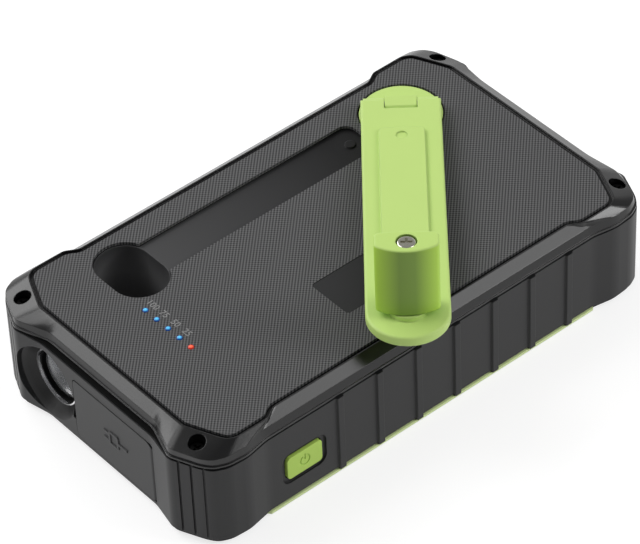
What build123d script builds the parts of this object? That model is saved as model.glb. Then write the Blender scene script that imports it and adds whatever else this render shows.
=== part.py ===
from build123d import *
import math
import os

os.makedirs("parts", exist_ok=True)

# Hand crank phone charger.
# Frame: X along the case with the torch and sockets at -X, Y across it with the power button at -Y,
# +Z up out of the textured panel. Origin: centre of the flat underside. All sizes in millimetres.

# ---------------------------------------------------------------- case, outside
CASE_LENGTH = 155.0        # over the corner bumpers
CASE_WIDTH = 89.0          # over the corner bumpers
PANEL_TOP = 31.8           # underside to the textured panel
HALF_LENGTH = CASE_LENGTH / 2
HALF_WIDTH = CASE_WIDTH / 2

# Plan outlines: each point is its set-in (along X, along Y) from the corner of the case's rectangle,
# walked from the middle of an end wall to the middle of a side wall.
END_RECESS = 1.9           # middle of an end wall inside the corner bumpers
SIDE_RECESS = 1.3          # middle of a side wall inside the corner bumpers
WALL_CORNER = (
    (END_RECESS, 22.0), (0.0, 13.2), (3.7, 4.9), (5.6, 2.1), (9.2, 0.4), (15.1, 0.0), (22.0, SIDE_RECESS),
)
LIP_CORNER = ((3.4, 23.4), (0.1, 13.2), (3.7, 4.9), (5.7, 2.2), (9.3, 0.5), (15.1, 0.0), (22.0, SIDE_RECESS))
BEVEL_CORNER = ((4.2, 23.0), (0.5, 13.2), (3.7, 5.2), (5.7, 2.6), (9.2, 1.0), (15.2, 0.8), (22.0, 2.4))
BEVEL_FAR_CORNER = ((3.3, 23.4), (2.2, 13.8), (4.4, 5.8), (6.2, 2.9), (9.4, 1.2), (15.2, 0.9), (22.0, 2.4))
PANEL_CORNER = ((6.7, 24.3), (6.7, 15.4), (10.6, 6.5), (11.8, 4.3), (14.2, 3.0), (24.4, 3.0), (27.9, 5.1))
CASE_BLEND = 1.3           # rounding of the wall, lip and bevel outlines starts this far from each corner
PANEL_BLEND = 0.9          # the same for the panel's outline

END_WALL = 3.2             # bumper thickness in the middle of the ends
SIDE_WALL = 2.4            # bumper thickness in the middle of the sides
CAVITY_CUT_X = 13.9        # corner cut of the inside, along X
CAVITY_CUT_Y = 15.3        # corner cut of the inside, along Y
CAVITY_X = HALF_LENGTH - END_RECESS - END_WALL
CAVITY_Y = HALF_WIDTH - SIDE_RECESS - SIDE_WALL
WALL_X = HALF_LENGTH - END_RECESS
WALL_Y = HALF_WIDTH - SIDE_RECESS

FIT_GAP = 0.1              # gap between pieces that are pushed together
RUN_GAP = 0.05             # radial gap of a shaft in its bearing

# ---------------------------------------------------------------- case, heights
COVER_FLOOR = 1.4          # thickness of the rear cover
WALL_BOTTOM = COVER_FLOOR + FIT_GAP
BEZEL_HEIGHT = 5.5         # top of the bumper to the textured panel
WALL_TOP = PANEL_TOP - BEZEL_HEIGHT
WALL_FOOT_CHAMFER = 0.5
GASKET_THICKNESS = 0.6
LIP_LOW = WALL_TOP + GASKET_THICKNESS
LIP_THICKNESS = 0.6
LIP_HIGH = LIP_LOW + LIP_THICKNESS
GASKET_INSET = 0.5         # gasket inside the wall outline
LIP_STEP = 0.35            # how far the band above the lip is set in
BAND_HEIGHT = 2.2          # upright band between the lip and the bevel
BEVEL_LOW = LIP_HIGH + BAND_HEIGHT
SHEET_THICKNESS = 0.8      # textured panel sheet
DECK_TOP = PANEL_TOP - SHEET_THICKNESS
DECK_THICKNESS = 1.6
DECK_LOW = DECK_TOP - DECK_THICKNESS
BEZEL_RIM = 0.3            # flat rim between the bevel and the panel's groove
PANEL_GAP = 1.15           # open groove round the panel sheet
RIM_BACKING = 0.06         # the bevel's twisted corner facets are backed up to this far inside the rim
SKIRT_LENGTH = 4.6
SKIRT_LOW = LIP_LOW - SKIRT_LENGTH
SKIRT_WALL = 1.5
SKIRT_FIT = 0.15

# ---------------------------------------------------------------- rear cover and trim
COVER_INSET = 0.8          # rear cover inside the wall outline
COVER_CHAMFER = 0.6
TRIM_LOW = 0.7
TRIM_PROUD = 0.25          # green trim stands out of the side wall
TRIM_END_INSET = 1.3       # hidden behind the rear cover's edge at the ends
TRIM_WIDTH = 1.9
TRIM_CUT_X = 18.9          # corner cut of the trim ring
TRIM_CUT_Y = 22.0
COVER_RIM_TOP = 5.0
COVER_RIM_WALL = 1.4

# ---------------------------------------------------------------- corner screws
SCREW_SET_IN_X = 6.4
SCREW_SET_IN_Y = 9.1
CORNER_SCREW_X = HALF_LENGTH - SCREW_SET_IN_X
CORNER_SCREW_Y = HALF_WIDTH - SCREW_SET_IN_Y
SCREW_SHANK = 1.0          # radius
SCREW_HEAD = 2.1           # radius
SCREW_HEAD_HEIGHT = 1.2
SCREW_RECESS = 2.3         # radius of the hole in the bezel
SCREW_FLOOR = 0.9          # bezel left under the screw head
SCREW_SEAT = LIP_LOW + SCREW_FLOOR
SCREW_TIP = 2.6
BOSS_RADIUS = 2.2
BOSS_TOP = 8.0
DRIVE_SLOT = 0.7           # width of the cross in the screw heads
DRIVE_DEPTH = 0.7

# ---------------------------------------------------------------- side ribs and corner grooves
RIB_COUNT = 7
RIB_FIRST_SET_IN = 45.7    # first rib from the -X end
RIB_LAST_SET_IN = 31.0     # last rib from the +X end
RIB_FIRST = -HALF_LENGTH + RIB_FIRST_SET_IN
RIB_PITCH = (HALF_LENGTH - RIB_LAST_SET_IN - RIB_FIRST) / (RIB_COUNT - 1)
RIB_WIDTH = 2.4
RIB_HEIGHT = 0.6
GROOVE_COUNT = 3
GROOVE_PITCH = 3.5
GROOVE_WIDTH = 0.7
GROOVE_DEPTH = 0.5
GROOVE_FIRST = 1.2         # set-in of the first groove, along X
GROOVE_FIRST_Y = 10.5

# ---------------------------------------------------------------- crank: hub, arm, knob
HUB_SET_IN_X = 29.8        # hub's centre from the +X end
HUB_SET_IN_Y = 20.65       # hub's centre from the +Y side
HUB_X = HALF_LENGTH - HUB_SET_IN_X
HUB_Y = HALF_WIDTH - HUB_SET_IN_Y
POCKET_SET_IN = 33.0       # pocket's centre from the -X end
POCKET_X = -HALF_LENGTH + POCKET_SET_IN
HUB_RADIUS = 11.3
HUB_RECESS = 11.8
HUB_THICKNESS = 1.8
HUB_LOW = PANEL_TOP - HUB_THICKNESS
SPINDLE_RADIUS = 4.0
GEAR_SEAT_RADIUS = 3.0
ARM_HEADING = -130.0       # plan direction of the unfolded arm, degrees
ARM_TILT = 3.0             # the unfolded arm rises by this much, degrees
PIN_OFFSET = 1.0           # hinge pin behind the hub's centre
PIN_HEIGHT = 2.1           # hinge pin above the panel
PIN_RADIUS = 0.8
PIN_LENGTH = 21.0
KNOB_OFFSET = 3.2          # folded knob's axis from the pocket's centre, towards the hub
ARM_REACH = HUB_X - POCKET_X - PIN_OFFSET - KNOB_OFFSET   # hinge pin to knob axis
ARM_WIDTH = 21.6
ARM_INNER = 1.9            # inner face above the pin's axis
ARM_THICKNESS = 3.0
ARM_EDGE = 0.7             # rounding of the arm's long edges
ARM_EAR = 1.7              # radius of the arm's rounded hinge end
NOTCH_WIDTH = 8.9
NOTCH_REACH = 4.2
LUG_GAP = 0.12             # lug on the hub in the arm's notch
LUG_BACK = 5.8
LUG_FRONT = 2.6
LUG_SLOPE = 2.6
LUG_EDGE = 0.9
LUG_ROOT = 0.4
ARM_RIB_WIDTH = 12.2
ARM_RIB_HEIGHT = 0.8
DETENT_REACH = 17.0
DETENT_RADIUS = 1.5
DETENT_DEPTH = 0.35
COLLAR_RADIUS = 4.8
RIB_END = ARM_REACH - COLLAR_RADIUS   # raised rib on the arm's inner face
COLLAR_HEIGHT = 0.6
POST_RADIUS = 2.0
KNOB_HEIGHT = 22.3         # arm's inner face to the top of the knob
KNOB_WIDTH = 16.3
KNOB_DEPTH = 8.3
KNOB_BULGE = 2.6           # how far its outer face bows out
KNOB_BACK_BULGE = 0.6      # the same for the face towards the hub
KNOB_EDGE = 0.5
KNOB_GAP = 0.3
KNOB_SCREW_HEAD = 2.5
KNOB_SCREW_HEAD_HEIGHT = 1.1
KNOB_SHOULDER = 1.5        # depth of the screw's counterbore
KNOB_SCREW_LENGTH = 9.0

# ---------------------------------------------------------------- stowing tray
CHANNEL_WIDTH = 13.2
CHANNEL_DEPTH = 1.0
CHANNEL_END = 13.5         # end of the channel to the hub's centre
CHANNEL_SPARE = 1.1        # folded arm's rib to the end of the channel
RIB_START = CHANNEL_END - PIN_OFFSET + CHANNEL_SPARE
CHANNEL_END_ROUND = 3.3
POCKET_LENGTH = 16.1       # along X
POCKET_WIDTH = 22.9        # along Y
POCKET_SPARE = 1.1         # folded knob to the pocket's floor
POCKET_FLOOR = PANEL_TOP + PIN_HEIGHT - ARM_INNER - KNOB_HEIGHT - POCKET_SPARE
TRAY_WALL = 1.2
TRAY_FLANGE = 1.5
TRAY_FLANGE_THICKNESS = 1.4
TRAY_FLANGE_LOW = DECK_LOW - TRAY_FLANGE_THICKNESS
TRAY_RIM = 0.4             # visible rim of the tray inside the pocket

# ---------------------------------------------------------------- panel fittings
LABEL_LENGTH = 32.2
LABEL_WIDTH = 14.4
LABEL_X = 1.9
LABEL_SET_IN = 25.4        # label's middle from the -Y side
LABEL_Y = -HALF_WIDTH + LABEL_SET_IN
LABEL_ROUND = 1.2
LIGHT_SET_IN_X = 26.1      # row of lights from the -X end
LIGHT_SET_IN_Y = 35.0      # first light from the +Y side
LIGHT_X = -HALF_LENGTH + LIGHT_SET_IN_X
LIGHT_FIRST_Y = HALF_WIDTH - LIGHT_SET_IN_Y
LIGHT_PITCH = 4.6
LIGHT_NAMES = (
    "charge_light_100", "charge_light_75", "charge_light_50", "charge_light_25", "low_charge_light",
)
LIGHT_RADIUS = 0.8
LIGHT_PROUD = 0.05
LIGHT_HOLE = 0.9
INDICATOR_BOARD_LENGTH = 22.6
INDICATOR_BOARD_WIDTH = 9.0
INDICATOR_BOARD_THICKNESS = 1.0
INDICATOR_CHIP = 0.6
INDICATOR_PAD = 1.2        # height of the deck pads that hold the board
INDICATOR_PAD_RADIUS = 1.4

# ---------------------------------------------------------------- torch
TORCH_SET_IN = 23.3        # torch's axis from the +Y side
TORCH_DROP = 0.2           # torch's axis below the middle of the wall
TORCH_Y = HALF_WIDTH - TORCH_SET_IN
TORCH_Z = (WALL_BOTTOM + WALL_TOP) / 2 - TORCH_DROP
FLARE_MARGIN = 1.4         # wall left above and below the flared mouth
FLARE_RADIUS = (WALL_TOP - WALL_BOTTOM) / 2 - FLARE_MARGIN
FLARE_DEPTH = 2.9
FLARE_WIDTH = 2.7
TORCH_BORE = FLARE_RADIUS - FLARE_WIDTH
COLLAR_DEPTH = 5.4         # torch seat behind the end wall's face
COLLAR_LIP = 0.4           # torch seat outside the flared mouth
COLLAR_OUTER = FLARE_RADIUS + COLLAR_LIP
COLLAR_CLEARANCE = 0.8
TORCH_RING_WIDTH = 0.4
TORCH_RING_LENGTH = 1.0
TORCH_WALL = 0.8
TORCH_LENGTH = 15.0
LENS_SETBACK = 2.0         # lens behind the ring's front
LENS_THICKNESS = 1.2
REFLECTOR_LENGTH = 8.8
REFLECTOR_WALL = 0.5
REFLECTOR_NECK = 2.4
LED_BOARD = 1.2
LED_RADIUS = 1.6
LED_HEIGHT = 1.8

# ---------------------------------------------------------------- port cover and sockets
FLAP_TOP_MARGIN = 3.3      # flap to the top of the wall
FLAP_BOTTOM_MARGIN = 1.7   # flap to the foot of the wall
FLAP_TOP = WALL_TOP - FLAP_TOP_MARGIN
FLAP_BOTTOM = WALL_BOTTOM + FLAP_BOTTOM_MARGIN
FLAP_TO_TORCH = 11.6       # free edge to the torch's axis
FLAP_WIDTH = 32.1
FLAP_LEFT = TORCH_Y - FLAP_TO_TORCH    # Y of the free edge
FLAP_RIGHT = FLAP_LEFT - FLAP_WIDTH     # Y of the hinge edge
FLAP_THICKNESS = 1.8
FLAP_PROUD = 0.1
FLAP_GAP = 0.25
FLAP_ROUND = 2.6           # two corners
FLAP_SMALL_ROUND = 0.9     # the other two
FLAP_PIN = 0.45
FLAP_PIN_SEAT = 0.8        # how far the pin goes into the bumper
PORT_LEDGE = 1.5           # ledge that the flap closes on
PLUG_MARK_HEIGHT = 0.25    # raised plug sign on the flap
PLUG_MARK_LINE = 0.7
PLUG_MARK_LENGTH = 4.0
PLUG_MARK_WIDTH = 4.6
PLUG_MARK_PRONG = 2.4
PLUG_MARK_LEAD = 3.8
NOTCH_Y = 1.0              # finger notch beside the flap
NOTCH_FOOT = 5.6           # finger notch above the flap's foot
NOTCH_HEAD = 6.6           # finger notch below the flap's top
NOTCH_LOW = FLAP_BOTTOM + NOTCH_FOOT
NOTCH_HIGH = FLAP_TOP - NOTCH_HEAD
NOTCH_DEPTH = 1.2
WINDOW_Y = (FLAP_LEFT + FLAP_RIGHT + FLAP_THICKNESS) / 2   # middle of the socket window
USB_PITCH = 13.7
USB_Y = (WINDOW_Y + USB_PITCH / 2, WINDOW_Y - USB_PITCH / 2)
USB_WIDTH = 13.2
USB_HEIGHT = 6.6
USB_LENGTH = 14.5
USB_SHELL = 0.5
USB_C_Y = WINDOW_Y
USB_C_WIDTH = 9.0
USB_C_HEIGHT = 3.2
USB_C_LENGTH = 7.5
SOCKET_FRONT = 0.4         # sockets behind the inside of the end wall

# ---------------------------------------------------------------- power button
BUTTON_SET_IN = 33.6       # button's middle from the -X end
BUTTON_DROP = 1.7          # button's middle below the middle of the wall
BUTTON_X = -HALF_LENGTH + BUTTON_SET_IN
BUTTON_Z = (WALL_BOTTOM + WALL_TOP) / 2 - BUTTON_DROP
BUTTON_LENGTH = 11.3
BUTTON_HEIGHT = 7.2
BUTTON_ROUND = 1.2
BUTTON_GAP = 0.3
BUTTON_PROUD = 0.15
BUTTON_FRAME = 1.6         # width of the shallow dish round the button
BUTTON_DISH = 0.6
BUTTON_FLANGE = 1.0
BUTTON_STEM = 0.7
BUTTON_STEM_RADIUS = 1.5
BUTTON_TRAVEL = 0.5
SWITCH_SIZE = 6.0
SWITCH_THICKNESS = 2.8
SWITCH_PLUNGER = 0.5
SWITCH_BOARD = 1.2
SWITCH_BOARD_LENGTH = 14.0
SWITCH_BOARD_FOOT = 1.6    # switch board above the cover's floor
SWITCH_BOARD_HEIGHT = 16.0
SWITCH_BOARD_LOW = COVER_FLOOR + SWITCH_BOARD_FOOT
SWITCH_BOARD_HIGH = SWITCH_BOARD_LOW + SWITCH_BOARD_HEIGHT
BOARD_RAIL = 1.1
BOARD_RAIL_HEIGHT = 6.6
BOARD_RAIL_TOP = COVER_FLOOR + BOARD_RAIL_HEIGHT

# ---------------------------------------------------------------- circuit board and cells
BOARD_LOW = 14.2
BOARD_THICKNESS = 1.6
BOARD_TOP = BOARD_LOW + BOARD_THICKNESS
BOARD_END_GAP = 0.6        # board behind the inside of the end wall
BOARD_LENGTH = 36.3        # along X
BOARD_TO_TORCH = 11.9      # board's edge to the torch's axis
BOARD_SIDE_GAP = 7.8       # board's other edge to the inside of the side wall
BOARD_LEFT = -CAVITY_X + BOARD_END_GAP
BOARD_RIGHT = BOARD_LEFT + BOARD_LENGTH
BOARD_Y_HIGH = TORCH_Y - BOARD_TO_TORCH
BOARD_Y_LOW = -CAVITY_Y + BOARD_SIDE_GAP
BOARD_CUT = 8.0
POST_INSET = 3.0           # board posts from the board's edges
POST_INSET_LOW = 3.5
POST_CUT_INSET = 6.6       # post beside the cut corner
POST_SPACING = 15.0
BOARD_POSTS = (
    (BOARD_LEFT + POST_CUT_INSET, BOARD_Y_LOW + POST_CUT_INSET),
    (BOARD_RIGHT - POST_INSET_LOW, BOARD_Y_LOW + POST_INSET_LOW),
    (BOARD_RIGHT - POST_INSET_LOW, BOARD_Y_HIGH - POST_INSET),
    (BOARD_RIGHT - POST_INSET_LOW - POST_SPACING, BOARD_Y_HIGH - POST_INSET),
)
POST_OUTER = 2.2
BOARD_SCREW = 0.9
BOARD_SCREW_HEAD = 2.0
BOARD_SCREW_HEAD_HEIGHT = 1.3
BOARD_SCREW_LENGTH = 5.0
INDUCTOR_SIZE = 12.0
INDUCTOR_HEIGHT = 6.0
INDUCTOR_PLACE = (BOARD_RIGHT - 10.5, BOARD_Y_LOW + 13.0)
CHIP_SIZE = 7.0
CHIP_HEIGHT = 1.0
CHIP_PLACE = (BOARD_RIGHT - 21.5, BOARD_Y_LOW + 18.0)
CAPACITOR_RADIUS = 3.0
CAPACITOR_HEIGHT = 8.0
CAPACITOR_PLACES = ((BOARD_RIGHT - 5.0, BOARD_Y_LOW + 23.0), (BOARD_RIGHT - 5.0, BOARD_Y_LOW + 30.5))
CELL_THICKNESS = 9.4
CELL_ROUND = 2.0
FOAM_THICKNESS = 0.8
CRADLE_FLOOR = 1.0
CRADLE_WALL = 1.0
CRADLE_HEIGHT = 5.2
CELL_GAP = 0.2
STRAP_WIDTH = 18.0
STRAP_THICKNESS = 0.8
PLATE_LENGTH = 35.0        # gearbox plates along X
CRADLE_GAP = 2.2           # cradle to the circuit board and to the gearbox plates
CRADLE_LEFT = BOARD_RIGHT + CRADLE_GAP
CRADLE_RIGHT = HUB_X - PLATE_LENGTH / 2 - CRADLE_GAP
STRAP_GAP = 0.15           # strap to the bezel's skirt
CELL_X = (CRADLE_LEFT + CRADLE_RIGHT) / 2
CELL_LENGTH = CRADLE_RIGHT - CRADLE_LEFT - 2 * (CRADLE_WALL + CELL_GAP)
CELL_WIDTH = 2 * (CAVITY_Y - SKIRT_FIT - SKIRT_WALL - STRAP_GAP - STRAP_THICKNESS - CRADLE_WALL - CELL_GAP)

# ---------------------------------------------------------------- gear train and generator
PRESSURE_ANGLE = math.radians(25.0)
TOOTH_TIP = 0.8            # stub teeth: addendum in modules
TOOTH_ROOT = 1.05
BACKLASH = 0.12
FLANK_STEPS = 4
DRIVE_MODULE = 0.8
DRIVE_TEETH = 34
PINION_TEETH = 12
WHEEL_MODULE = 0.6
WHEEL_TEETH = 40
ROTOR_TEETH = 10
MESH_ONE = DRIVE_MODULE * (DRIVE_TEETH + PINION_TEETH) / 2
MESH_TWO = WHEEL_MODULE * (WHEEL_TEETH + ROTOR_TEETH) / 2
COMPOUND_X = HUB_X
COMPOUND_Y = HUB_Y - MESH_ONE
ROTOR_X = HUB_X
ROTOR_Y = COMPOUND_Y - MESH_TWO
DECK_BOSS_HEIGHT = 2.0
DECK_BOSS_LOW = DECK_LOW - DECK_BOSS_HEIGHT
TOP_PLATE_DROP = 2.5       # underside of the deck's boss to the underside of the top plate
TOP_PLATE_LOW = DECK_BOSS_LOW - TOP_PLATE_DROP
TOP_PLATE_THICKNESS = 1.2
DRIVE_GEAR_GAP = 0.5       # drive gear under the top plate
DRIVE_GEAR_WIDTH = 4.0
DRIVE_GEAR_LOW = TOP_PLATE_LOW - DRIVE_GEAR_GAP - DRIVE_GEAR_WIDTH
SPINDLE_STEP = DRIVE_GEAR_LOW + DRIVE_GEAR_WIDTH + 0.2   # where the spindle narrows for the gear
PINION_SPARE = 0.2         # pinion wider than the gear it meets, at each face
PINION_LOW = DRIVE_GEAR_LOW - PINION_SPARE
PINION_WIDTH = DRIVE_GEAR_WIDTH + 2 * PINION_SPARE
WHEEL_WIDTH = 3.0
WHEEL_GAP = 2.6            # wheel under the pinion
WHEEL_LOW = PINION_LOW - WHEEL_GAP - WHEEL_WIDTH
ROTOR_PINION_WIDTH = 4.0
ROTOR_PINION_DROP = 0.4
ROTOR_PINION_LOW = WHEEL_LOW - ROTOR_PINION_DROP
AXLE_RADIUS = 1.5
SLEEVE_RADIUS = 3.3
LOWER_SLEEVE_RADIUS = 2.5
PLATE_LOW = 5.0
PLATE_THICKNESS = 1.4
PLATE_FRONT_MARGIN = 13.45  # plates' edge to the rotor's axis
PLATE_BACK_MARGIN = 9.35    # plates' edge to the hub's axis
PLATE_FRONT = ROTOR_Y - PLATE_FRONT_MARGIN
PLATE_BACK = HUB_Y - PLATE_BACK_MARGIN
HUB_PLATE_RADIUS = 10.5
PILLAR_RADIUS = 2.0
PILLAR_EDGE = 2.65         # pillars from the plates' front and back edges
PILLAR_BACK_SPREAD = 15.6
PILLAR_FRONT_SPREAD = 14.0
PILLARS = tuple(           # X from the hub, Y
    (side * spread, y) for spread, y in (
        (PILLAR_BACK_SPREAD, PLATE_BACK - PILLAR_EDGE), (PILLAR_FRONT_SPREAD, PLATE_FRONT + PILLAR_EDGE),
    ) for side in (-1, 1)
)
BUSH_RADIUS = 6.0
BUSH_FLANGE_RADIUS = 8.0
BUSH_FLANGE = 0.95
BUSH_TOP = HUB_LOW - 0.15
DECK_BOSS_RADIUS = 13.5
GEAR_SCREW_HEAD = 4.2
GEAR_SCREW_HEAD_HEIGHT = 1.4
GEAR_SCREW_SHANK = 1.2
GEAR_SCREW_LENGTH = 6.0
CAN_RADIUS = 12.0
CAN_WALL = 0.5
CAN_GAP = 0.4              # can under the rotor's pinion
CAN_TOP = ROTOR_PINION_LOW - CAN_GAP
STATOR_RADIUS = 11.4
STATOR_BORE = 8.0
STATOR_RING = 1.6
STATOR_FOOT = 0.4          # stator above the base plate
STATOR_LOW = PLATE_LOW + PLATE_THICKNESS + STATOR_FOOT
STATOR_SPARE = 0.9         # stator under the can's top
STATOR_HEIGHT = CAN_TOP - CAN_WALL - STATOR_SPARE - STATOR_LOW
STATOR_TEETH = 9
STATOR_TOOTH = 1.6
COIL_WIDTH = 3.8
COIL_RADIAL = 1.2
MAGNET_RADIUS = 7.4
MAGNET_FOOT = 0.4          # magnet above the stator's foot
MAGNET_LOW = STATOR_LOW + MAGNET_FOOT
MAGNET_HEIGHT = STATOR_HEIGHT - MAGNET_FOOT
SHAFT_RADIUS = 1.0
SHAFT_FOOT = 0.2
SHAFT_LOW = PLATE_LOW + SHAFT_FOOT


# ================================================================ helpers
def from_corner(corner, far_corner):
    """Close the set-ins of the -X and +X corners into the whole plan outline."""
    first = [(HALF_LENGTH - dx, HALF_WIDTH - dy) for dx, dy in far_corner]
    second = [(dx - HALF_LENGTH, HALF_WIDTH - dy) for dx, dy in reversed(corner)]
    third = [(x, -y) for x, y in reversed(second)]
    fourth = [(x, -y) for x, y in reversed(first)]
    return first + second + third + fourth


def cut_rectangle(half_x, half_y, cut_x, cut_y):
    """Rectangle with its four corners cut off."""
    first = [(half_x, half_y - cut_y), (half_x - cut_x, half_y)]
    second = [(-x, y) for x, y in reversed(first)]
    third = [(-x, -y) for x, y in first]
    fourth = [(x, -y) for x, y in reversed(first)]
    return first + second + third + fourth


def drawn_in(points, inset):
    """Outline with each of its edges drawn in by inset."""
    moved = []
    for index, (x, y) in enumerate(points):
        (ax, ay), (bx, by) = points[index - 1], points[(index + 1) % len(points)]
        before, after = math.atan2(y - ay, x - ax), math.atan2(by - y, bx - x)
        half_turn = math.remainder(after - before, 2 * math.pi) / 2
        middle, move = before + half_turn, inset / math.cos(half_turn)
        moved.append((x - move * math.sin(middle), y + move * math.cos(middle)))
    return moved


def outline(corner, blend, inset=0.0, far_corner=None):
    """Flat face inside a plan outline, each of its corners blended into a tangent arc."""
    points = drawn_in(from_corner(corner, far_corner or corner), inset)
    bends = []
    for index, point in enumerate(points):
        place = Vector(*point)
        back = (Vector(*points[index - 1]) - place).normalized() * blend
        ahead = (Vector(*points[(index + 1) % len(points)]) - place).normalized() * blend
        turn = math.pi - math.radians(back.get_angle(ahead))
        if turn < 0.01:
            bends.append(Line(place + back, place + ahead))
            continue
        share = math.tan(turn / 4) / math.sin(turn / 2) / 2
        bends.append(ThreePointArc(place + back, place + (back + ahead) * share, place + ahead))
    straights = [Line(bend @ 1, bends[(index + 1) % len(bends)] @ 0) for index, bend in enumerate(bends)]
    return make_face(Wire([edge for pair in zip(bends, straights) for edge in pair]))


def plan(points, inset=0.0):
    """Flat face inside an outline, drawn in by inset."""
    face = make_face(Polyline(*points, close=True))
    if inset:
        face = offset(face, amount=-inset, kind=Kind.INTERSECTION)
    return face


def prism(face, low, high):
    """Upright solid on a plan face between two heights."""
    return extrude(Pos(0, 0, low) * face, amount=high - low, dir=(0, 0, 1))


def disc(x, y, radius, low, high):
    """Upright cylinder between two heights."""
    return Pos(x, y, (low + high) / 2) * Cylinder(radius, high - low)


def block(x_low, x_high, y_low, y_high, z_low, z_high):
    """Box between two corners."""
    centre = ((x_low + x_high) / 2, (y_low + y_high) / 2, (z_low + z_high) / 2)
    return Pos(*centre) * Box(x_high - x_low, y_high - y_low, z_high - z_low)


def along_x(y, z, radius, x_low, x_high):
    """Cylinder that lies along X."""
    return Pos((x_low + x_high) / 2, y, z) * Rot(0, 90, 0) * Cylinder(radius, x_high - x_low)


def lofted(lower, z_low, upper, z_high):
    """Straight-sided solid between two plan faces."""
    return loft([Pos(0, 0, z_low) * lower, Pos(0, 0, z_high) * upper], ruled=True)


def cavity(inset=0.0):
    """Plan of the inside of the bumper."""
    return plan(cut_rectangle(CAVITY_X, CAVITY_Y, CAVITY_CUT_X, CAVITY_CUT_Y), inset)


def trim_plan(inset=0.0):
    """Plan of the green trim ring's outside."""
    points = cut_rectangle(WALL_X - TRIM_END_INSET, WALL_Y + TRIM_PROUD, TRIM_CUT_X, TRIM_CUT_Y)
    return plan(points, inset)


def corner_screw_places():
    return [(sx * CORNER_SCREW_X, sy * CORNER_SCREW_Y) for sx in (-1, 1) for sy in (-1, 1)]


def screw(head_radius, head_height, shank_radius, length):
    """Cross-head screw, shank down, head seated on Z = 0."""
    head = Pos(0, 0, head_height / 2) * Cylinder(head_radius, head_height)
    head = fillet(head.edges().sort_by(Axis.Z)[-1], head_height * 0.45)
    shank = Pos(0, 0, -length / 2) * Cylinder(shank_radius, length)
    cross_z = head_height - DRIVE_DEPTH / 2
    reach = head_radius * 1.2
    cross = Pos(0, 0, cross_z) * (Box(reach, DRIVE_SLOT, DRIVE_DEPTH) + Box(DRIVE_SLOT, reach, DRIVE_DEPTH))
    return head + shank - cross


def involute(angle):
    return math.tan(angle) - angle


def gear_points(module, teeth):
    """Plan outline of a gear with a tooth centred on its +X axis."""
    pitch = module * teeth / 2
    base = pitch * math.cos(PRESSURE_ANGLE)
    tip = pitch + TOOTH_TIP * module
    root = pitch - TOOTH_ROOT * module
    half_tooth = (math.pi * module / 2 - BACKLASH) / 2 / pitch + involute(PRESSURE_ANGLE)
    start = max(base, root)
    flank = []
    for step in range(FLANK_STEPS + 1):
        radius = start + (tip - start) * step / FLANK_STEPS
        flank.append((radius, half_tooth - involute(math.acos(base / radius))))
    if root < base:
        flank.insert(0, (root, half_tooth))
    points = []
    for tooth in range(teeth):
        middle = 2 * math.pi * tooth / teeth
        rising = [(radius, middle - angle) for radius, angle in flank]
        falling = [(radius, middle + angle) for radius, angle in reversed(flank)]
        points += [(r * math.cos(a), r * math.sin(a)) for r, a in rising + falling]
    return points


def gear(module, teeth, x, y, low, width, turn):
    """Gear solid on an upright axis, with a tooth centred at the turn, in degrees."""
    face = Pos(x, y, 0) * Rot(0, 0, turn) * plan(gear_points(module, teeth))
    return prism(face, low, low + width)


def arm_frame():
    """Frame of the crank arm: X along it from the hinge pin, Y along the pin, Z off its inner face."""
    heading = math.radians(ARM_HEADING)
    x = HUB_X - PIN_OFFSET * math.cos(heading)
    y = HUB_Y - PIN_OFFSET * math.sin(heading)
    return Pos(x, y, PANEL_TOP + PIN_HEIGHT) * Rot(0, 0, ARM_HEADING) * Rot(0, -ARM_TILT, 0)


def hub_frame():
    """Frame of the hub's top: X along the unfolded arm, Z up from the panel."""
    return Pos(HUB_X, HUB_Y, PANEL_TOP) * Rot(0, 0, ARM_HEADING)


# ================================================================ case
def rear_cover():
    plate = prism(outline(WALL_CORNER, CASE_BLEND, COVER_INSET), 0, COVER_FLOOR)
    plate = chamfer(plate.edges().group_by(Axis.Z)[0], COVER_CHAMFER)
    groove = prism(trim_plan(-FIT_GAP) - trim_plan(TRIM_WIDTH + FIT_GAP), TRIM_LOW - FIT_GAP, WALL_BOTTOM)
    rim = prism(cavity(SKIRT_FIT) - cavity(SKIRT_FIT + COVER_RIM_WALL), COVER_FLOOR, COVER_RIM_TOP)
    rim -= torch_clearance()
    cover = plate - groove + rim
    for x, y in corner_screw_places():
        cover += disc(x, y, BOSS_RADIUS, COVER_FLOOR, BOSS_TOP)
    for x, y in BOARD_POSTS:
        cover += disc(x, y, POST_OUTER, COVER_FLOOR, BOARD_LOW)
    for dx, y in PILLARS:
        cover += disc(HUB_X + dx, y, POST_OUTER, COVER_FLOOR, PLATE_LOW)
    for x, y in corner_screw_places():
        cover -= disc(x, y, SCREW_SHANK, SCREW_TIP, BOSS_TOP)
    for x, y in BOARD_POSTS:
        cover -= disc(x, y, BOARD_SCREW, BOARD_LOW - BOARD_SCREW_LENGTH, BOARD_LOW)
    return cover + board_rails()


def board_rails():
    """Two rails on the rear cover that hold the upright switch board."""
    front, back = switch_board_faces()
    low, high = BUTTON_X - SWITCH_BOARD_LENGTH / 2, BUTTON_X + SWITCH_BOARD_LENGTH / 2
    outer = block(low, high, front - BOARD_RAIL, back + BOARD_RAIL, COVER_FLOOR, BOARD_RAIL_TOP)
    slot = block(low, high, front - FIT_GAP, back + FIT_GAP, SWITCH_BOARD_LOW - FIT_GAP, BOARD_RAIL_TOP)
    return outer - slot


def rear_trim_ring():
    return prism(trim_plan() - trim_plan(TRIM_WIDTH), TRIM_LOW, COVER_FLOOR)


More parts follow.
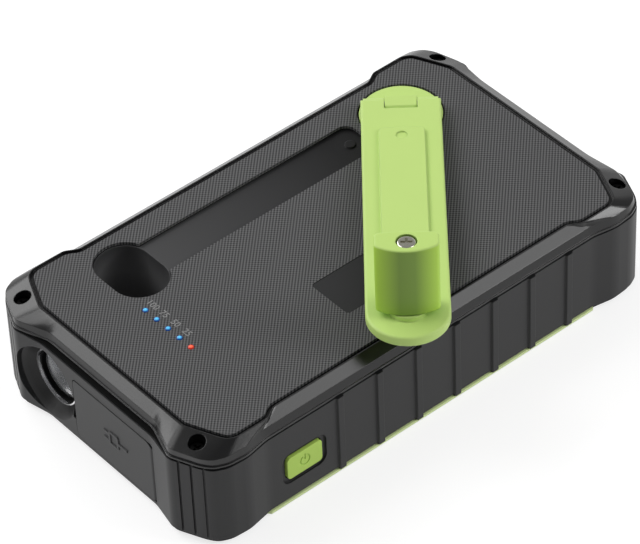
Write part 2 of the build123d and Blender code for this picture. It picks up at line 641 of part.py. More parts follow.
def side_ribs():
    """Upright ribs on both side walls."""
    ribs = []
    for index in range(RIB_COUNT):
        x = RIB_FIRST + index * RIB_PITCH
        for side in (-1, 1):
            inner = WALL_Y - SIDE_WALL / 2
            outer = WALL_Y + RIB_HEIGHT
            lean = RIB_HEIGHT / 2
            profile = Polyline(
                (x - RIB_WIDTH / 2, inner * side), (x - RIB_WIDTH / 2, WALL_Y * side),
                (x - RIB_WIDTH / 2 + lean, outer * side), (x + RIB_WIDTH / 2 - lean, outer * side),
                (x + RIB_WIDTH / 2, WALL_Y * side), (x + RIB_WIDTH / 2, inner * side), close=True,
            )
            ribs.append(prism(make_face(profile), WALL_BOTTOM, WALL_TOP))
    return ribs


def corner_grooves():
    """Three upright grooves down the facet of each corner bumper."""
    grooves = []
    (start_x, start_y), (end_x, end_y) = WALL_CORNER[1], WALL_CORNER[2]
    length = math.hypot(end_x - start_x, end_y - start_y)
    step_x = (end_x - start_x) / length * GROOVE_PITCH
    step_y = (end_y - start_y) / length * GROOVE_PITCH
    lean = math.degrees(math.atan2(end_x - start_x, start_y - end_y))
    for index in range(GROOVE_COUNT):
        x = HALF_LENGTH - GROOVE_FIRST - index * step_x
        y = HALF_WIDTH - GROOVE_FIRST_Y - index * step_y
        for sx in (-1, 1):
            for sy in (-1, 1):
                cut = Box(2 * GROOVE_DEPTH, GROOVE_WIDTH, WALL_TOP - WALL_BOTTOM)
                middle = (WALL_TOP + WALL_BOTTOM) / 2
                grooves.append(Pos(sx * x, sy * y, middle) * Rot(0, 0, sx * sy * lean) * cut)
    return grooves


def flap_outline(grow=0.0):
    """Port flap in the end wall's plane, drawn with Y to the left and Z up."""
    left, right = -FLAP_LEFT - grow, -FLAP_RIGHT + grow
    low, high = FLAP_BOTTOM - grow, FLAP_TOP + grow
    face = make_face(Polyline((left, low), (right, low), (right, high), (left, high), close=True))
    corners = face.vertices()
    big = [v for v in corners if (v.X < 0) == (v.Y < (low + high) / 2)]
    small = [v for v in corners if (v.X < 0) != (v.Y < (low + high) / 2)]
    face = fillet(big, FLAP_ROUND + grow)
    small = [v for v in face.vertices() if any((v.center() - s.center()).length < 0.01 for s in small)]
    return fillet(small, FLAP_SMALL_ROUND + grow)


def end_plane(x):
    """Plane of the -X end: its own X runs to -Y, its own Y runs up, its normal points to -X."""
    return Plane(origin=(x, 0, 0), x_dir=(0, -1, 0), z_dir=(-1, 0, 0))


def flap_axis():
    """Plan place of the flap's hinge pin."""
    return -WALL_X - FLAP_PROUD + FLAP_THICKNESS / 2, FLAP_RIGHT + FLAP_THICKNESS / 2


def port_recess():
    """Flap seat, space for its turning hinge edge, socket window, hinge pin hole and finger notch."""
    floor = -WALL_X - FLAP_PROUD + FLAP_THICKNESS + FLAP_GAP
    seat = extrude(end_plane(floor) * flap_outline(FLAP_GAP), amount=FLAP_THICKNESS + 2 * END_RECESS)
    window = block(
        floor - 1, -CAVITY_X + 1,
        FLAP_RIGHT + FLAP_THICKNESS + PORT_LEDGE, FLAP_LEFT - PORT_LEDGE,
        FLAP_BOTTOM + PORT_LEDGE, FLAP_TOP - PORT_LEDGE,
    )
    pin_x, pin_y = flap_axis()
    swing = block(
        -HALF_LENGTH, floor, FLAP_RIGHT - FLAP_GAP, pin_y + FLAP_THICKNESS / 2 + FLAP_GAP,
        FLAP_BOTTOM - FLAP_GAP, FLAP_TOP + FLAP_GAP,
    )
    pin = disc(pin_x, pin_y, FLAP_PIN, FLAP_BOTTOM - FLAP_PIN_SEAT, FLAP_TOP + FLAP_PIN_SEAT)
    notch = block(
        -HALF_LENGTH, -WALL_X + NOTCH_DEPTH, FLAP_LEFT, FLAP_LEFT + FLAP_GAP + NOTCH_Y, NOTCH_LOW, NOTCH_HIGH,
    )
    return [seat, swing, window, pin, notch]


def torch_cuts():
    """Flared mouth and bore for the torch."""
    face_x = -WALL_X
    flare = Pos(face_x + FLARE_DEPTH / 2, TORCH_Y, TORCH_Z) * Rot(0, 90, 0)
    flare = flare * Cone(FLARE_RADIUS, TORCH_BORE, FLARE_DEPTH)
    mouth = along_x(TORCH_Y, TORCH_Z, FLARE_RADIUS, -HALF_LENGTH, face_x)
    bore = along_x(TORCH_Y, TORCH_Z, TORCH_BORE, face_x, face_x + FLARE_DEPTH + TORCH_LENGTH + FIT_GAP)
    return [flare, mouth, bore]


def button_face(grow=0.0):
    """Power button in the side wall's plane."""
    return RectangleRounded(BUTTON_LENGTH + 2 * grow, BUTTON_HEIGHT + 2 * grow, BUTTON_ROUND + grow)


def side_plane(y):
    """Plane of the -Y side: its own X runs to +X, its own Y runs up, its normal points to -Y."""
    return Plane(origin=(0, y, 0), x_dir=(1, 0, 0), z_dir=(0, -1, 0))


def on_side(y_inner, y_outer, face):
    """Solid on the power button's face, between two depths."""
    placed = side_plane(y_inner) * Pos(BUTTON_X, BUTTON_Z, 0) * face
    return extrude(placed, amount=y_inner - y_outer)


def torch_clearance():
    """Space that the rims of the cover and the shell leave for the torch seat."""
    half = COLLAR_OUTER + COLLAR_CLEARANCE
    return block(
        -HALF_LENGTH, -WALL_X + COLLAR_DEPTH + COLLAR_CLEARANCE,
        TORCH_Y - half, TORCH_Y + half, TORCH_Z - half, TORCH_Z + half,
    )


def side_bumper():
    outer = prism(outline(WALL_CORNER, CASE_BLEND), WALL_BOTTOM, WALL_TOP)
    outer = chamfer(outer.edges().group_by(Axis.Z)[0], WALL_FOOT_CHAMFER)
    bumper = outer - prism(cavity(), WALL_BOTTOM, WALL_TOP)
    collar = along_x(TORCH_Y, TORCH_Z, COLLAR_OUTER, -CAVITY_X - 1, -WALL_X + COLLAR_DEPTH)
    bumper = bumper + side_ribs() + collar
    bumper = bumper - corner_grooves() - port_recess() - torch_cuts()
    for x, y in corner_screw_places():
        bumper -= disc(x, y, SCREW_SHANK + FIT_GAP, WALL_BOTTOM, WALL_TOP)
        bumper -= disc(x, y, BOSS_RADIUS + FIT_GAP, WALL_BOTTOM, BOSS_TOP + FIT_GAP)
    dish = on_side(-WALL_Y + BUTTON_DISH, -HALF_WIDTH, button_face(BUTTON_FRAME))
    window = on_side(-CAVITY_Y + 1, -HALF_WIDTH, button_face(BUTTON_GAP))
    return bumper - dish - window


def case_gasket():
    ring = prism(outline(WALL_CORNER, CASE_BLEND, GASKET_INSET) - cavity(), WALL_TOP, LIP_LOW)
    for x, y in corner_screw_places():
        ring -= disc(x, y, SCREW_SHANK + FIT_GAP, WALL_TOP, LIP_LOW)
    return ring


def top_shell():
    lip = prism(outline(LIP_CORNER, CASE_BLEND), LIP_LOW, LIP_HIGH)
    edge = outline(BEVEL_CORNER, CASE_BLEND, far_corner=BEVEL_FAR_CORNER)
    band = lofted(outline(LIP_CORNER, CASE_BLEND, LIP_STEP), LIP_HIGH, edge, BEVEL_LOW)
    bevel = lofted(edge, BEVEL_LOW, outline(PANEL_CORNER, PANEL_BLEND), PANEL_TOP)
    shell = lip + band + bevel
    shell += prism(outline(PANEL_CORNER, PANEL_BLEND, RIM_BACKING), LIP_HIGH, PANEL_TOP - RIM_BACKING)
    inside = cavity(SKIRT_FIT + SKIRT_WALL)
    shell -= prism(inside, LIP_LOW, DECK_LOW)
    shell -= prism(outline(PANEL_CORNER, PANEL_BLEND, BEZEL_RIM), DECK_TOP, PANEL_TOP)
    skirt = prism(cavity(SKIRT_FIT) - inside, SKIRT_LOW, LIP_LOW)
    shell += skirt - torch_clearance()
    boss = disc(HUB_X, HUB_Y, DECK_BOSS_RADIUS, DECK_BOSS_LOW, DECK_LOW)
    shell += boss - prism(flange_plan(FIT_GAP), DECK_BOSS_LOW, DECK_LOW)
    for y in indicator_pads():
        shell += disc(LIGHT_X, y, INDICATOR_PAD_RADIUS, DECK_LOW - INDICATOR_PAD, DECK_LOW)
    shell -= disc(HUB_X, HUB_Y, HUB_RECESS, HUB_LOW - FIT_GAP, PANEL_TOP)
    shell -= disc(HUB_X, HUB_Y, BUSH_FLANGE_RADIUS + FIT_GAP, BUSH_TOP - BUSH_FLANGE, HUB_LOW)
    shell -= disc(HUB_X, HUB_Y, BUSH_RADIUS, DECK_BOSS_LOW, HUB_LOW)
    shell -= prism(tray_opening(), DECK_LOW, PANEL_TOP)
    for index in range(len(LIGHT_NAMES)):
        shell -= disc(LIGHT_X, light_y(index), LIGHT_HOLE, DECK_LOW, PANEL_TOP)
    for x, y in corner_screw_places():
        shell -= disc(x, y, SCREW_SHANK + FIT_GAP, LIP_LOW, PANEL_TOP)
        shell -= disc(x, y, SCREW_RECESS, SCREW_SEAT, PANEL_TOP)
    return shell


def corner_screws():
    length = SCREW_SEAT - SCREW_TIP - FIT_GAP
    one = screw(SCREW_HEAD, SCREW_HEAD_HEIGHT, SCREW_SHANK, length)
    return Compound(children=[Pos(x, y, SCREW_SEAT) * one for x, y in corner_screw_places()])


# ================================================================ panel and stowing tray
def channel_plan(inset=0.0):
    """Channel that takes the folded arm's rib."""
    start, end = POCKET_X, HUB_X - CHANNEL_END - inset
    half = CHANNEL_WIDTH / 2 - inset
    points = ((start, HUB_Y - half), (end, HUB_Y - half), (end, HUB_Y + half), (start, HUB_Y + half))
    face = make_face(Polyline(*points, close=True))
    return fillet(face.vertices().group_by(Axis.X)[-1], CHANNEL_END_ROUND)


def pocket_plan(grow=0.0):
    """Pocket that takes the folded arm's knob."""
    return Pos(POCKET_X, HUB_Y, 0) * SlotOverall(POCKET_WIDTH + 2 * grow, POCKET_LENGTH + 2 * grow, rotation=90)


def tray_opening():
    return channel_plan() + pocket_plan()


def flange_plan(grow=0.0):
    """Flange under the deck, all round the tray's opening."""
    return channel_plan(-TRAY_FLANGE - grow) + pocket_plan(TRAY_FLANGE + grow)


def crank_tray():
    floor = prism(channel_plan(FIT_GAP), TRAY_FLANGE_LOW, PANEL_TOP - CHANNEL_DEPTH)
    collar = prism(pocket_plan(-FIT_GAP), TRAY_FLANGE_LOW, PANEL_TOP - CHANNEL_DEPTH)
    flange = prism(flange_plan(), TRAY_FLANGE_LOW, DECK_LOW)
    cup = prism(pocket_plan(TRAY_WALL), POCKET_FLOOR - TRAY_WALL, TRAY_FLANGE_LOW)
    tray = floor + collar + flange + cup
    tray -= prism(pocket_plan(-TRAY_RIM), POCKET_FLOOR, PANEL_TOP)
    bump_x = HUB_X - PIN_OFFSET - DETENT_REACH
    bump = Pos(bump_x, HUB_Y, PANEL_TOP - CHANNEL_DEPTH) * Cylinder(DETENT_RADIUS, 2 * DETENT_DEPTH)
    return tray + bump


def light_y(index):
    return LIGHT_FIRST_Y - index * LIGHT_PITCH


def indicator_pads():
    """Y of the two deck pads that the indicator board hangs from."""
    last = light_y(len(LIGHT_NAMES) - 1)
    return (light_y(0) - LIGHT_PITCH / 2, last - LIGHT_PITCH / 2)


def label_face(grow=0.0):
    return Pos(LABEL_X, LABEL_Y, 0) * RectangleRounded(
        LABEL_LENGTH + 2 * grow, LABEL_WIDTH + 2 * grow, LABEL_ROUND + grow)


def top_panel():
    face = outline(PANEL_CORNER, PANEL_BLEND, BEZEL_RIM + PANEL_GAP)
    face = face - tray_opening() - label_face(FIT_GAP)
    sheet = prism(face, DECK_TOP, PANEL_TOP)
    sheet -= disc(HUB_X, HUB_Y, HUB_RECESS, DECK_TOP, PANEL_TOP)
    for index in range(len(LIGHT_NAMES)):
        sheet -= disc(LIGHT_X, light_y(index), LIGHT_HOLE, DECK_TOP, PANEL_TOP)
    return sheet


def label_plate():
    return prism(label_face(), DECK_TOP, PANEL_TOP - FIT_GAP)


def charge_light(index):
    low = DECK_LOW - INDICATOR_PAD + INDICATOR_CHIP
    pipe = disc(LIGHT_X, light_y(index), LIGHT_RADIUS, low, PANEL_TOP + LIGHT_PROUD)
    return pipe


def indicator_board():
    high = DECK_LOW - INDICATOR_PAD
    pads = indicator_pads()
    middle = (light_y(0) + pads[1]) / 2
    half_length, half_width = INDICATOR_BOARD_LENGTH / 2, INDICATOR_BOARD_WIDTH / 2
    board = block(
        LIGHT_X - half_width, LIGHT_X + half_width, middle - half_length, middle + half_length,
        high - INDICATOR_BOARD_THICKNESS, high,
    )
    for index in range(len(LIGHT_NAMES)):
        chip = Box(2 * LIGHT_RADIUS, 2 * LIGHT_RADIUS, INDICATOR_CHIP)
        board += Pos(LIGHT_X, light_y(index), high + INDICATOR_CHIP / 2) * chip
    return board


# ================================================================ torch
def torch_front():
    """X of the chrome ring's front."""
    return -WALL_X + FLARE_DEPTH - FIT_GAP


def tube_x(outer, inner, x_low, x_high):
    return along_x(TORCH_Y, TORCH_Z, outer, x_low, x_high) - along_x(TORCH_Y, TORCH_Z, inner, x_low, x_high)


def torch_ring():
    front = torch_front()
    outer = TORCH_BORE - RUN_GAP
    return tube_x(outer, outer - TORCH_RING_WIDTH, front, front + TORCH_RING_LENGTH)


def torch_housing():
    front = torch_front() + TORCH_RING_LENGTH
    back = torch_front() + TORCH_LENGTH
    outer = TORCH_BORE - RUN_GAP
    tube = tube_x(outer, outer - TORCH_WALL, front, back)
    return tube + along_x(TORCH_Y, TORCH_Z, outer, back - TORCH_WALL, back)


def torch_inner():
    """Radius inside the torch housing."""
    return TORCH_BORE - RUN_GAP - TORCH_WALL - RUN_GAP


def torch_lens():
    front = torch_front() + LENS_SETBACK
    lens = along_x(TORCH_Y, TORCH_Z, torch_inner(), front, front + LENS_THICKNESS)
    return chamfer(lens.edges().sort_by(Axis.X)[0], LENS_THICKNESS / 3)


def torch_reflector():
    front = torch_front() + LENS_SETBACK + LENS_THICKNESS
    place = Pos(front + REFLECTOR_LENGTH / 2, TORCH_Y, TORCH_Z) * Rot(0, 90, 0)
    outer = place * Cone(torch_inner(), REFLECTOR_NECK + REFLECTOR_WALL, REFLECTOR_LENGTH)
    inner = place * Cone(torch_inner() - REFLECTOR_WALL, REFLECTOR_NECK, REFLECTOR_LENGTH)
    return outer - inner


def torch_led_back():
    """X of the LED board's front face."""
    return torch_front() + LENS_SETBACK + LENS_THICKNESS + REFLECTOR_LENGTH


def torch_led_board():
    front = torch_led_back()
    board = along_x(TORCH_Y, TORCH_Z, torch_inner(), front, front + LED_BOARD)
    spacer_end = torch_front() + TORCH_LENGTH - TORCH_WALL
    return board + along_x(TORCH_Y, TORCH_Z, LED_RADIUS, front + LED_BOARD, spacer_end)


def torch_led():
    front = torch_led_back()
    dome = Pos(front - LED_HEIGHT, TORCH_Y, TORCH_Z) * Sphere(LED_RADIUS)
    body = along_x(TORCH_Y, TORCH_Z, LED_RADIUS, front - LED_HEIGHT, front)
    half = block(front - 2 * LED_HEIGHT, front, TORCH_Y - LED_RADIUS, TORCH_Y + LED_RADIUS,
                 TORCH_Z - LED_RADIUS, TORCH_Z + LED_RADIUS)
    return (dome & half) + body


# ================================================================ port cover and sockets
def port_cover():
    inner_x = -WALL_X - FLAP_PROUD + FLAP_THICKNESS
    flap = extrude(end_plane(inner_x) * flap_outline(), amount=FLAP_THICKNESS)
    pin_x, pin_y = flap_axis()
    edge = flap.bounding_box()
    corner = block(edge.min.X, edge.max.X, FLAP_RIGHT, pin_y, edge.min.Z, edge.max.Z)
    knuckle = disc(pin_x, pin_y, FLAP_THICKNESS / 2, edge.min.Z, edge.max.Z)
    flap = flap - (corner - knuckle)
    flap -= disc(pin_x, pin_y, FLAP_PIN + RUN_GAP, edge.min.Z, edge.max.Z)
    return flap + plug_mark(-WALL_X - FLAP_PROUD)


def plug_mark(face_x):
    """Small raised plug sign in the middle of the flap."""
    middle = -(FLAP_LEFT + FLAP_RIGHT) / 2
    height = (FLAP_TOP + FLAP_BOTTOM) / 2
    line, long, wide = PLUG_MARK_LINE, PLUG_MARK_LENGTH, PLUG_MARK_WIDTH
    body = RectangleRounded(long, wide, line) - Rectangle(long - 2 * line, wide - 2 * line)
    prong = Pos(-(long + PLUG_MARK_PRONG - line) / 2, 0) * Rectangle(PLUG_MARK_PRONG, line)
    lead = Pos((long + PLUG_MARK_LEAD - line) / 2, 0) * Rectangle(PLUG_MARK_LEAD, line)
    sign = body + Pos(0, wide / 4) * prong + Pos(0, -wide / 4) * prong + lead
    return extrude(end_plane(face_x) * Pos(middle, height) * sign, amount=PLUG_MARK_HEIGHT)


def port_cover_pin():
    pin_x, pin_y = flap_axis()
    return disc(pin_x, pin_y, FLAP_PIN, FLAP_BOTTOM - FLAP_PIN_SEAT, FLAP_TOP + FLAP_PIN_SEAT)


def socket_front():
    return -CAVITY_X + SOCKET_FRONT


def usb_socket(index):
    """Type A socket that hangs under the board."""
    y, front = USB_Y[index], socket_front()
    high, low = BOARD_LOW, BOARD_LOW - USB_HEIGHT
    half = USB_WIDTH / 2
    shell = block(front, front + USB_LENGTH, y - half, y + half, low, high)
    hollow = block(
        front, front + USB_LENGTH - 2 * USB_SHELL, y - half + USB_SHELL, y + half - USB_SHELL,
        low + USB_SHELL, high - USB_SHELL,
    )
    tongue = block(
        front + 1.0, front + USB_LENGTH - USB_SHELL, y - half + 1.2, y + half - 1.2,
        high - USB_SHELL - 2.6, high - USB_SHELL - 0.8,
    )
    return shell - hollow + tongue


def usb_c_socket():
    """Type C socket on top of the board."""
    front, middle = socket_front(), BOARD_TOP + USB_C_HEIGHT / 2
    round_off = USB_C_HEIGHT / 2 - 0.1
    plane = end_plane(front) * Pos(-USB_C_Y, middle)
    shell = extrude(plane * RectangleRounded(USB_C_WIDTH, USB_C_HEIGHT, round_off), amount=-USB_C_LENGTH)
    hollow_face = RectangleRounded(USB_C_WIDTH - 0.8, USB_C_HEIGHT - 0.8, round_off - 0.4)
    hollow = extrude(plane * hollow_face, amount=-(USB_C_LENGTH - 0.8))
    tongue = block(front + 0.6, front + USB_C_LENGTH - 0.5, USB_C_Y - 3.3, USB_C_Y + 3.3,
                   middle - 0.35, middle + 0.35)
    return shell - hollow + tongue


# ================================================================ power button
def button_back():
    """Y of the button flange's inner face."""
    return -CAVITY_Y + FIT_GAP + BUTTON_FLANGE


def power_button():
    flange_front = -CAVITY_Y + FIT_GAP
    face = on_side(flange_front, -WALL_Y - BUTTON_PROUD, button_face())
    flange = on_side(button_back(), flange_front, button_face(BUTTON_FLANGE))
    stem = on_side(button_back() + BUTTON_STEM, button_back(), Circle(BUTTON_STEM_RADIUS))
    mark = on_side(-WALL_Y - BUTTON_PROUD + 0.2, -WALL_Y - BUTTON_PROUD, standby_mark())
    return face + flange + stem - mark


def standby_mark():
    """Common on and off sign: a broken ring and a stroke."""
    ring = Circle(1.7) - Circle(1.25) - Pos(0, 1.6) * Rectangle(1.3, 1.6)
    return ring + Pos(0, 1.2) * Rectangle(0.45, 1.9)


def switch_front():
    """Y of the switch plunger's tip, clear of the pressed stem."""
    return button_back() + BUTTON_STEM + BUTTON_TRAVEL + FIT_GAP


def switch_board_faces():
    front = switch_front() + SWITCH_PLUNGER + SWITCH_THICKNESS
    return front, front + SWITCH_BOARD


def power_switch():
    tip = switch_front()
    plunger = on_side(tip + SWITCH_PLUNGER, tip, Circle(BUTTON_STEM_RADIUS))
    body_front = tip + SWITCH_PLUNGER
    body = on_side(body_front + SWITCH_THICKNESS, body_front, Rectangle(SWITCH_SIZE, SWITCH_SIZE))
    return body + plunger


def switch_board():
    front, back = switch_board_faces()
    half = SWITCH_BOARD_LENGTH / 2
    return block(BUTTON_X - half, BUTTON_X + half, front, back, SWITCH_BOARD_LOW, SWITCH_BOARD_HIGH)


# ================================================================ circuit board and cells
def main_board():
    points = (
        (BOARD_LEFT, BOARD_Y_HIGH), (BOARD_LEFT, BOARD_Y_LOW + BOARD_CUT),
        (BOARD_LEFT + BOARD_CUT, BOARD_Y_LOW), (BOARD_RIGHT, BOARD_Y_LOW), (BOARD_RIGHT, BOARD_Y_HIGH),
    )
    board = prism(plan(points), BOARD_LOW, BOARD_TOP)
    for x, y in BOARD_POSTS:
        board -= disc(x, y, BOARD_SCREW, BOARD_LOW, BOARD_TOP)
    return board


def board_screws():
    one = screw(BOARD_SCREW_HEAD, BOARD_SCREW_HEAD_HEIGHT, BOARD_SCREW, BOARD_THICKNESS + BOARD_SCREW_LENGTH)
    return Compound(children=[Pos(x, y, BOARD_TOP) * one for x, y in BOARD_POSTS])


def boost_inductor():
    x, y = INDUCTOR_PLACE
    body = Pos(x, y, BOARD_TOP + INDUCTOR_HEIGHT / 2) * Box(INDUCTOR_SIZE, INDUCTOR_SIZE, INDUCTOR_HEIGHT)
    return chamfer(body.edges().filter_by(Axis.Z), INDUCTOR_SIZE / 6)


def control_chip():
    x, y = CHIP_PLACE
    return Pos(x, y, BOARD_TOP + CHIP_HEIGHT / 2) * Box(CHIP_SIZE, CHIP_SIZE, CHIP_HEIGHT)


def smoothing_capacitors():
    cans = [disc(x, y, CAPACITOR_RADIUS, BOARD_TOP, BOARD_TOP + CAPACITOR_HEIGHT) for x, y in CAPACITOR_PLACES]
    return Compound(children=cans)


def battery_cell(layer):
    low = COVER_FLOOR + CRADLE_FLOOR + layer * (CELL_THICKNESS + FOAM_THICKNESS)
    cell = Pos(CELL_X, 0, low + CELL_THICKNESS / 2) * Box(CELL_LENGTH, CELL_WIDTH, CELL_THICKNESS)
    return fillet(cell.edges().filter_by(Axis.Z), CELL_ROUND)


def battery_foam_pad():
    low = COVER_FLOOR + CRADLE_FLOOR + CELL_THICKNESS
    return Pos(CELL_X, 0, low + FOAM_THICKNESS / 2) * Box(CELL_LENGTH * 0.9, CELL_WIDTH * 0.9, FOAM_THICKNESS)


def battery_cradle():
    half_x = CELL_LENGTH / 2 + CELL_GAP
    half_y = CELL_WIDTH / 2 + CELL_GAP
    wall = CRADLE_WALL
    high = COVER_FLOOR + CRADLE_HEIGHT
    outer = block(CELL_X - half_x - wall, CELL_X + half_x + wall, -half_y - wall, half_y + wall, COVER_FLOOR, high)
    hollow = block(CELL_X - half_x, CELL_X + half_x, -half_y, half_y, COVER_FLOOR + CRADLE_FLOOR, high)
    return outer - hollow


def battery_strap():
    """Bracket over the cells, its legs outside the cradle down to the rear cover."""
    inner_y = CELL_WIDTH / 2 + CELL_GAP + CRADLE_WALL
    outer_y = inner_y + STRAP_THICKNESS
    inner_z = COVER_FLOOR + CRADLE_FLOOR + 2 * CELL_THICKNESS + FOAM_THICKNESS
    half = STRAP_WIDTH / 2
    outer = block(CELL_X - half, CELL_X + half, -outer_y, outer_y, COVER_FLOOR, inner_z + STRAP_THICKNESS)
    inner = block(CELL_X - half, CELL_X + half, -inner_y, inner_y, COVER_FLOOR, inner_z)
    return outer - inner


# ================================================================ gear train and generator
def pinion_turn():
    """Turn of the compound pinion: one of its gaps faces the drive gear's tooth."""
    return 90.0 + 180.0 / PINION_TEETH


def rotor_turn():
    """Turn of the rotor pinion: one of its gaps faces the wheel's tooth."""
    return 90.0 + 180.0 / ROTOR_TEETH


def drive_gear():
    body = gear(DRIVE_MODULE, DRIVE_TEETH, HUB_X, HUB_Y, DRIVE_GEAR_LOW, DRIVE_GEAR_WIDTH, -90.0)
    return body - disc(HUB_X, HUB_Y, GEAR_SEAT_RADIUS, DRIVE_GEAR_LOW, DRIVE_GEAR_LOW + DRIVE_GEAR_WIDTH)


def compound_gear():
    pinion = gear(DRIVE_MODULE, PINION_TEETH, COMPOUND_X, COMPOUND_Y, PINION_LOW, PINION_WIDTH, pinion_turn())
    wheel = gear(WHEEL_MODULE, WHEEL_TEETH, COMPOUND_X, COMPOUND_Y, WHEEL_LOW, WHEEL_WIDTH, -90.0)
    bottom = PLATE_LOW + PLATE_THICKNESS + 0.2
    top = PINION_LOW + PINION_WIDTH
    sleeve = disc(COMPOUND_X, COMPOUND_Y, SLEEVE_RADIUS, WHEEL_LOW, PINION_LOW)
    lower = disc(COMPOUND_X, COMPOUND_Y, LOWER_SLEEVE_RADIUS, bottom, WHEEL_LOW)
    bore = disc(COMPOUND_X, COMPOUND_Y, AXLE_RADIUS + RUN_GAP, bottom, top)
    return pinion + wheel + sleeve + lower - bore


def compound_axle():
    return disc(COMPOUND_X, COMPOUND_Y, AXLE_RADIUS, PLATE_LOW, TOP_PLATE_LOW + TOP_PLATE_THICKNESS)


def gearbox_base_plate():
    low, high = PLATE_LOW, PLATE_LOW + PLATE_THICKNESS
    half = PLATE_LENGTH / 2
    plate = block(HUB_X - half, HUB_X + half, PLATE_FRONT, PLATE_BACK, low, high)
    plate -= disc(COMPOUND_X, COMPOUND_Y, AXLE_RADIUS, low, high)
    return plate - disc(ROTOR_X, ROTOR_Y, SHAFT_RADIUS + RUN_GAP, low, high)


def gearbox_top_plate():
    low, high = TOP_PLATE_LOW, TOP_PLATE_LOW + TOP_PLATE_THICKNESS
    half = PLATE_LENGTH / 2
    plate = block(HUB_X - half, HUB_X + half, PLATE_FRONT, PLATE_BACK, low, high)
    plate += disc(HUB_X, HUB_Y, HUB_PLATE_RADIUS, low, high)
    plate -= disc(HUB_X, HUB_Y, BUSH_RADIUS + RUN_GAP, low, high)
    return plate - disc(COMPOUND_X, COMPOUND_Y, AXLE_RADIUS, low, high)


def gearbox_pillars():
    pillars = []
    for dx, y in PILLARS:
        pillars.append(disc(HUB_X + dx, y, PILLAR_RADIUS, PLATE_LOW + PLATE_THICKNESS, TOP_PLATE_LOW))
    return Compound(children=pillars)


def generator_can():
    low = PLATE_LOW + PLATE_THICKNESS
    can = disc(ROTOR_X, ROTOR_Y, CAN_RADIUS, low, CAN_TOP)
    can -= disc(ROTOR_X, ROTOR_Y, CAN_RADIUS - CAN_WALL, low, CAN_TOP - CAN_WALL)
    return can - disc(ROTOR_X, ROTOR_Y, SHAFT_RADIUS + RUN_GAP, low, CAN_TOP)


def stator_core():
    low, high = PLATE_LOW + PLATE_THICKNESS, STATOR_LOW + STATOR_HEIGHT
    core = disc(ROTOR_X, ROTOR_Y, STATOR_RADIUS, low, high)
    core -= disc(ROTOR_X, ROTOR_Y, STATOR_RADIUS - STATOR_RING, low, high)
    reach = STATOR_RADIUS - STATOR_RING / 2 - STATOR_BORE
    for index in range(STATOR_TEETH):
        turn = Pos(ROTOR_X, ROTOR_Y, 0) * Rot(0, 0, 360.0 * index / STATOR_TEETH)
        place = Pos(STATOR_BORE + reach / 2, 0, STATOR_LOW + STATOR_HEIGHT / 2)
        core += turn * place * Box(reach, STATOR_TOOTH, STATOR_HEIGHT - 1.6)
    return core


def stator_coils():
    coils = []
    for index in range(STATOR_TEETH):
        turn = Pos(ROTOR_X, ROTOR_Y, 0) * Rot(0, 0, 360.0 * index / STATOR_TEETH)
        place = Pos(STATOR_BORE + 0.3 + COIL_RADIAL / 2, 0, STATOR_LOW + STATOR_HEIGHT / 2)
        coil = Box(COIL_RADIAL, COIL_WIDTH, STATOR_HEIGHT - 0.4)
        coil -= Box(COIL_RADIAL, STATOR_TOOTH, STATOR_HEIGHT - 1.6)
        coils.append(turn * place * coil)
    return Compound(children=coils)


def rotor_magnet():
    magnet = disc(ROTOR_X, ROTOR_Y, MAGNET_RADIUS, MAGNET_LOW, MAGNET_LOW + MAGNET_HEIGHT)
    return magnet - disc(ROTOR_X, ROTOR_Y, SHAFT_RADIUS, MAGNET_LOW, MAGNET_LOW + MAGNET_HEIGHT)


def rotor_shaft():
    high = ROTOR_PINION_LOW + ROTOR_PINION_WIDTH
    pinion = gear(WHEEL_MODULE, ROTOR_TEETH, ROTOR_X, ROTOR_Y, ROTOR_PINION_LOW, ROTOR_PINION_WIDTH, rotor_turn())
    return pinion + disc(ROTOR_X, ROTOR_Y, SHAFT_RADIUS, SHAFT_LOW, high + FIT_GAP)


# ================================================================ crank
def hub_bush():
    flange = disc(HUB_X, HUB_Y, BUSH_FLANGE_RADIUS, BUSH_TOP - BUSH_FLANGE, BUSH_TOP)
    body = disc(HUB_X, HUB_Y, BUSH_RADIUS, TOP_PLATE_LOW, BUSH_TOP - BUSH_FLANGE)
    return flange + body - disc(HUB_X, HUB_Y, SPINDLE_RADIUS + RUN_GAP, TOP_PLATE_LOW, BUSH_TOP)


def hinge_lug():
    """Lug on the hub between the arm's ears: sloped at the back, rounded round the pin in front."""
    top = PIN_HEIGHT + ARM_INNER - 0.1
    profile = Polyline(
        (-LUG_BACK, -LUG_ROOT), (-LUG_BACK + LUG_SLOPE, top - LUG_EDGE), (-LUG_BACK + LUG_SLOPE + LUG_EDGE, top),
        (LUG_FRONT - LUG_EDGE, top), (LUG_FRONT, top - LUG_EDGE), (LUG_FRONT, -LUG_ROOT), close=True,
    )
    width = NOTCH_WIDTH - 2 * LUG_GAP
    upright = Plane(origin=(0, width / 2, 0), x_dir=(1, 0, 0), z_dir=(0, -1, 0))
    return extrude(upright * make_face(profile), amount=width)


def crank_hub():
    hub = disc(HUB_X, HUB_Y, HUB_RADIUS, HUB_LOW, PANEL_TOP)
    hub = chamfer(hub.edges().group_by(Axis.Z)[-1], 0.3)
    hub += disc(HUB_X, HUB_Y, SPINDLE_RADIUS, SPINDLE_STEP, HUB_LOW)
    hub += disc(HUB_X, HUB_Y, GEAR_SEAT_RADIUS, DRIVE_GEAR_LOW, SPINDLE_STEP)
    hub += hub_frame() * hinge_lug()
    hub -= disc(HUB_X, HUB_Y, GEAR_SCREW_SHANK, DRIVE_GEAR_LOW, DRIVE_GEAR_LOW + GEAR_SCREW_LENGTH)
    return hub - arm_frame() * Rot(90, 0, 0) * Cylinder(PIN_RADIUS, PIN_LENGTH)


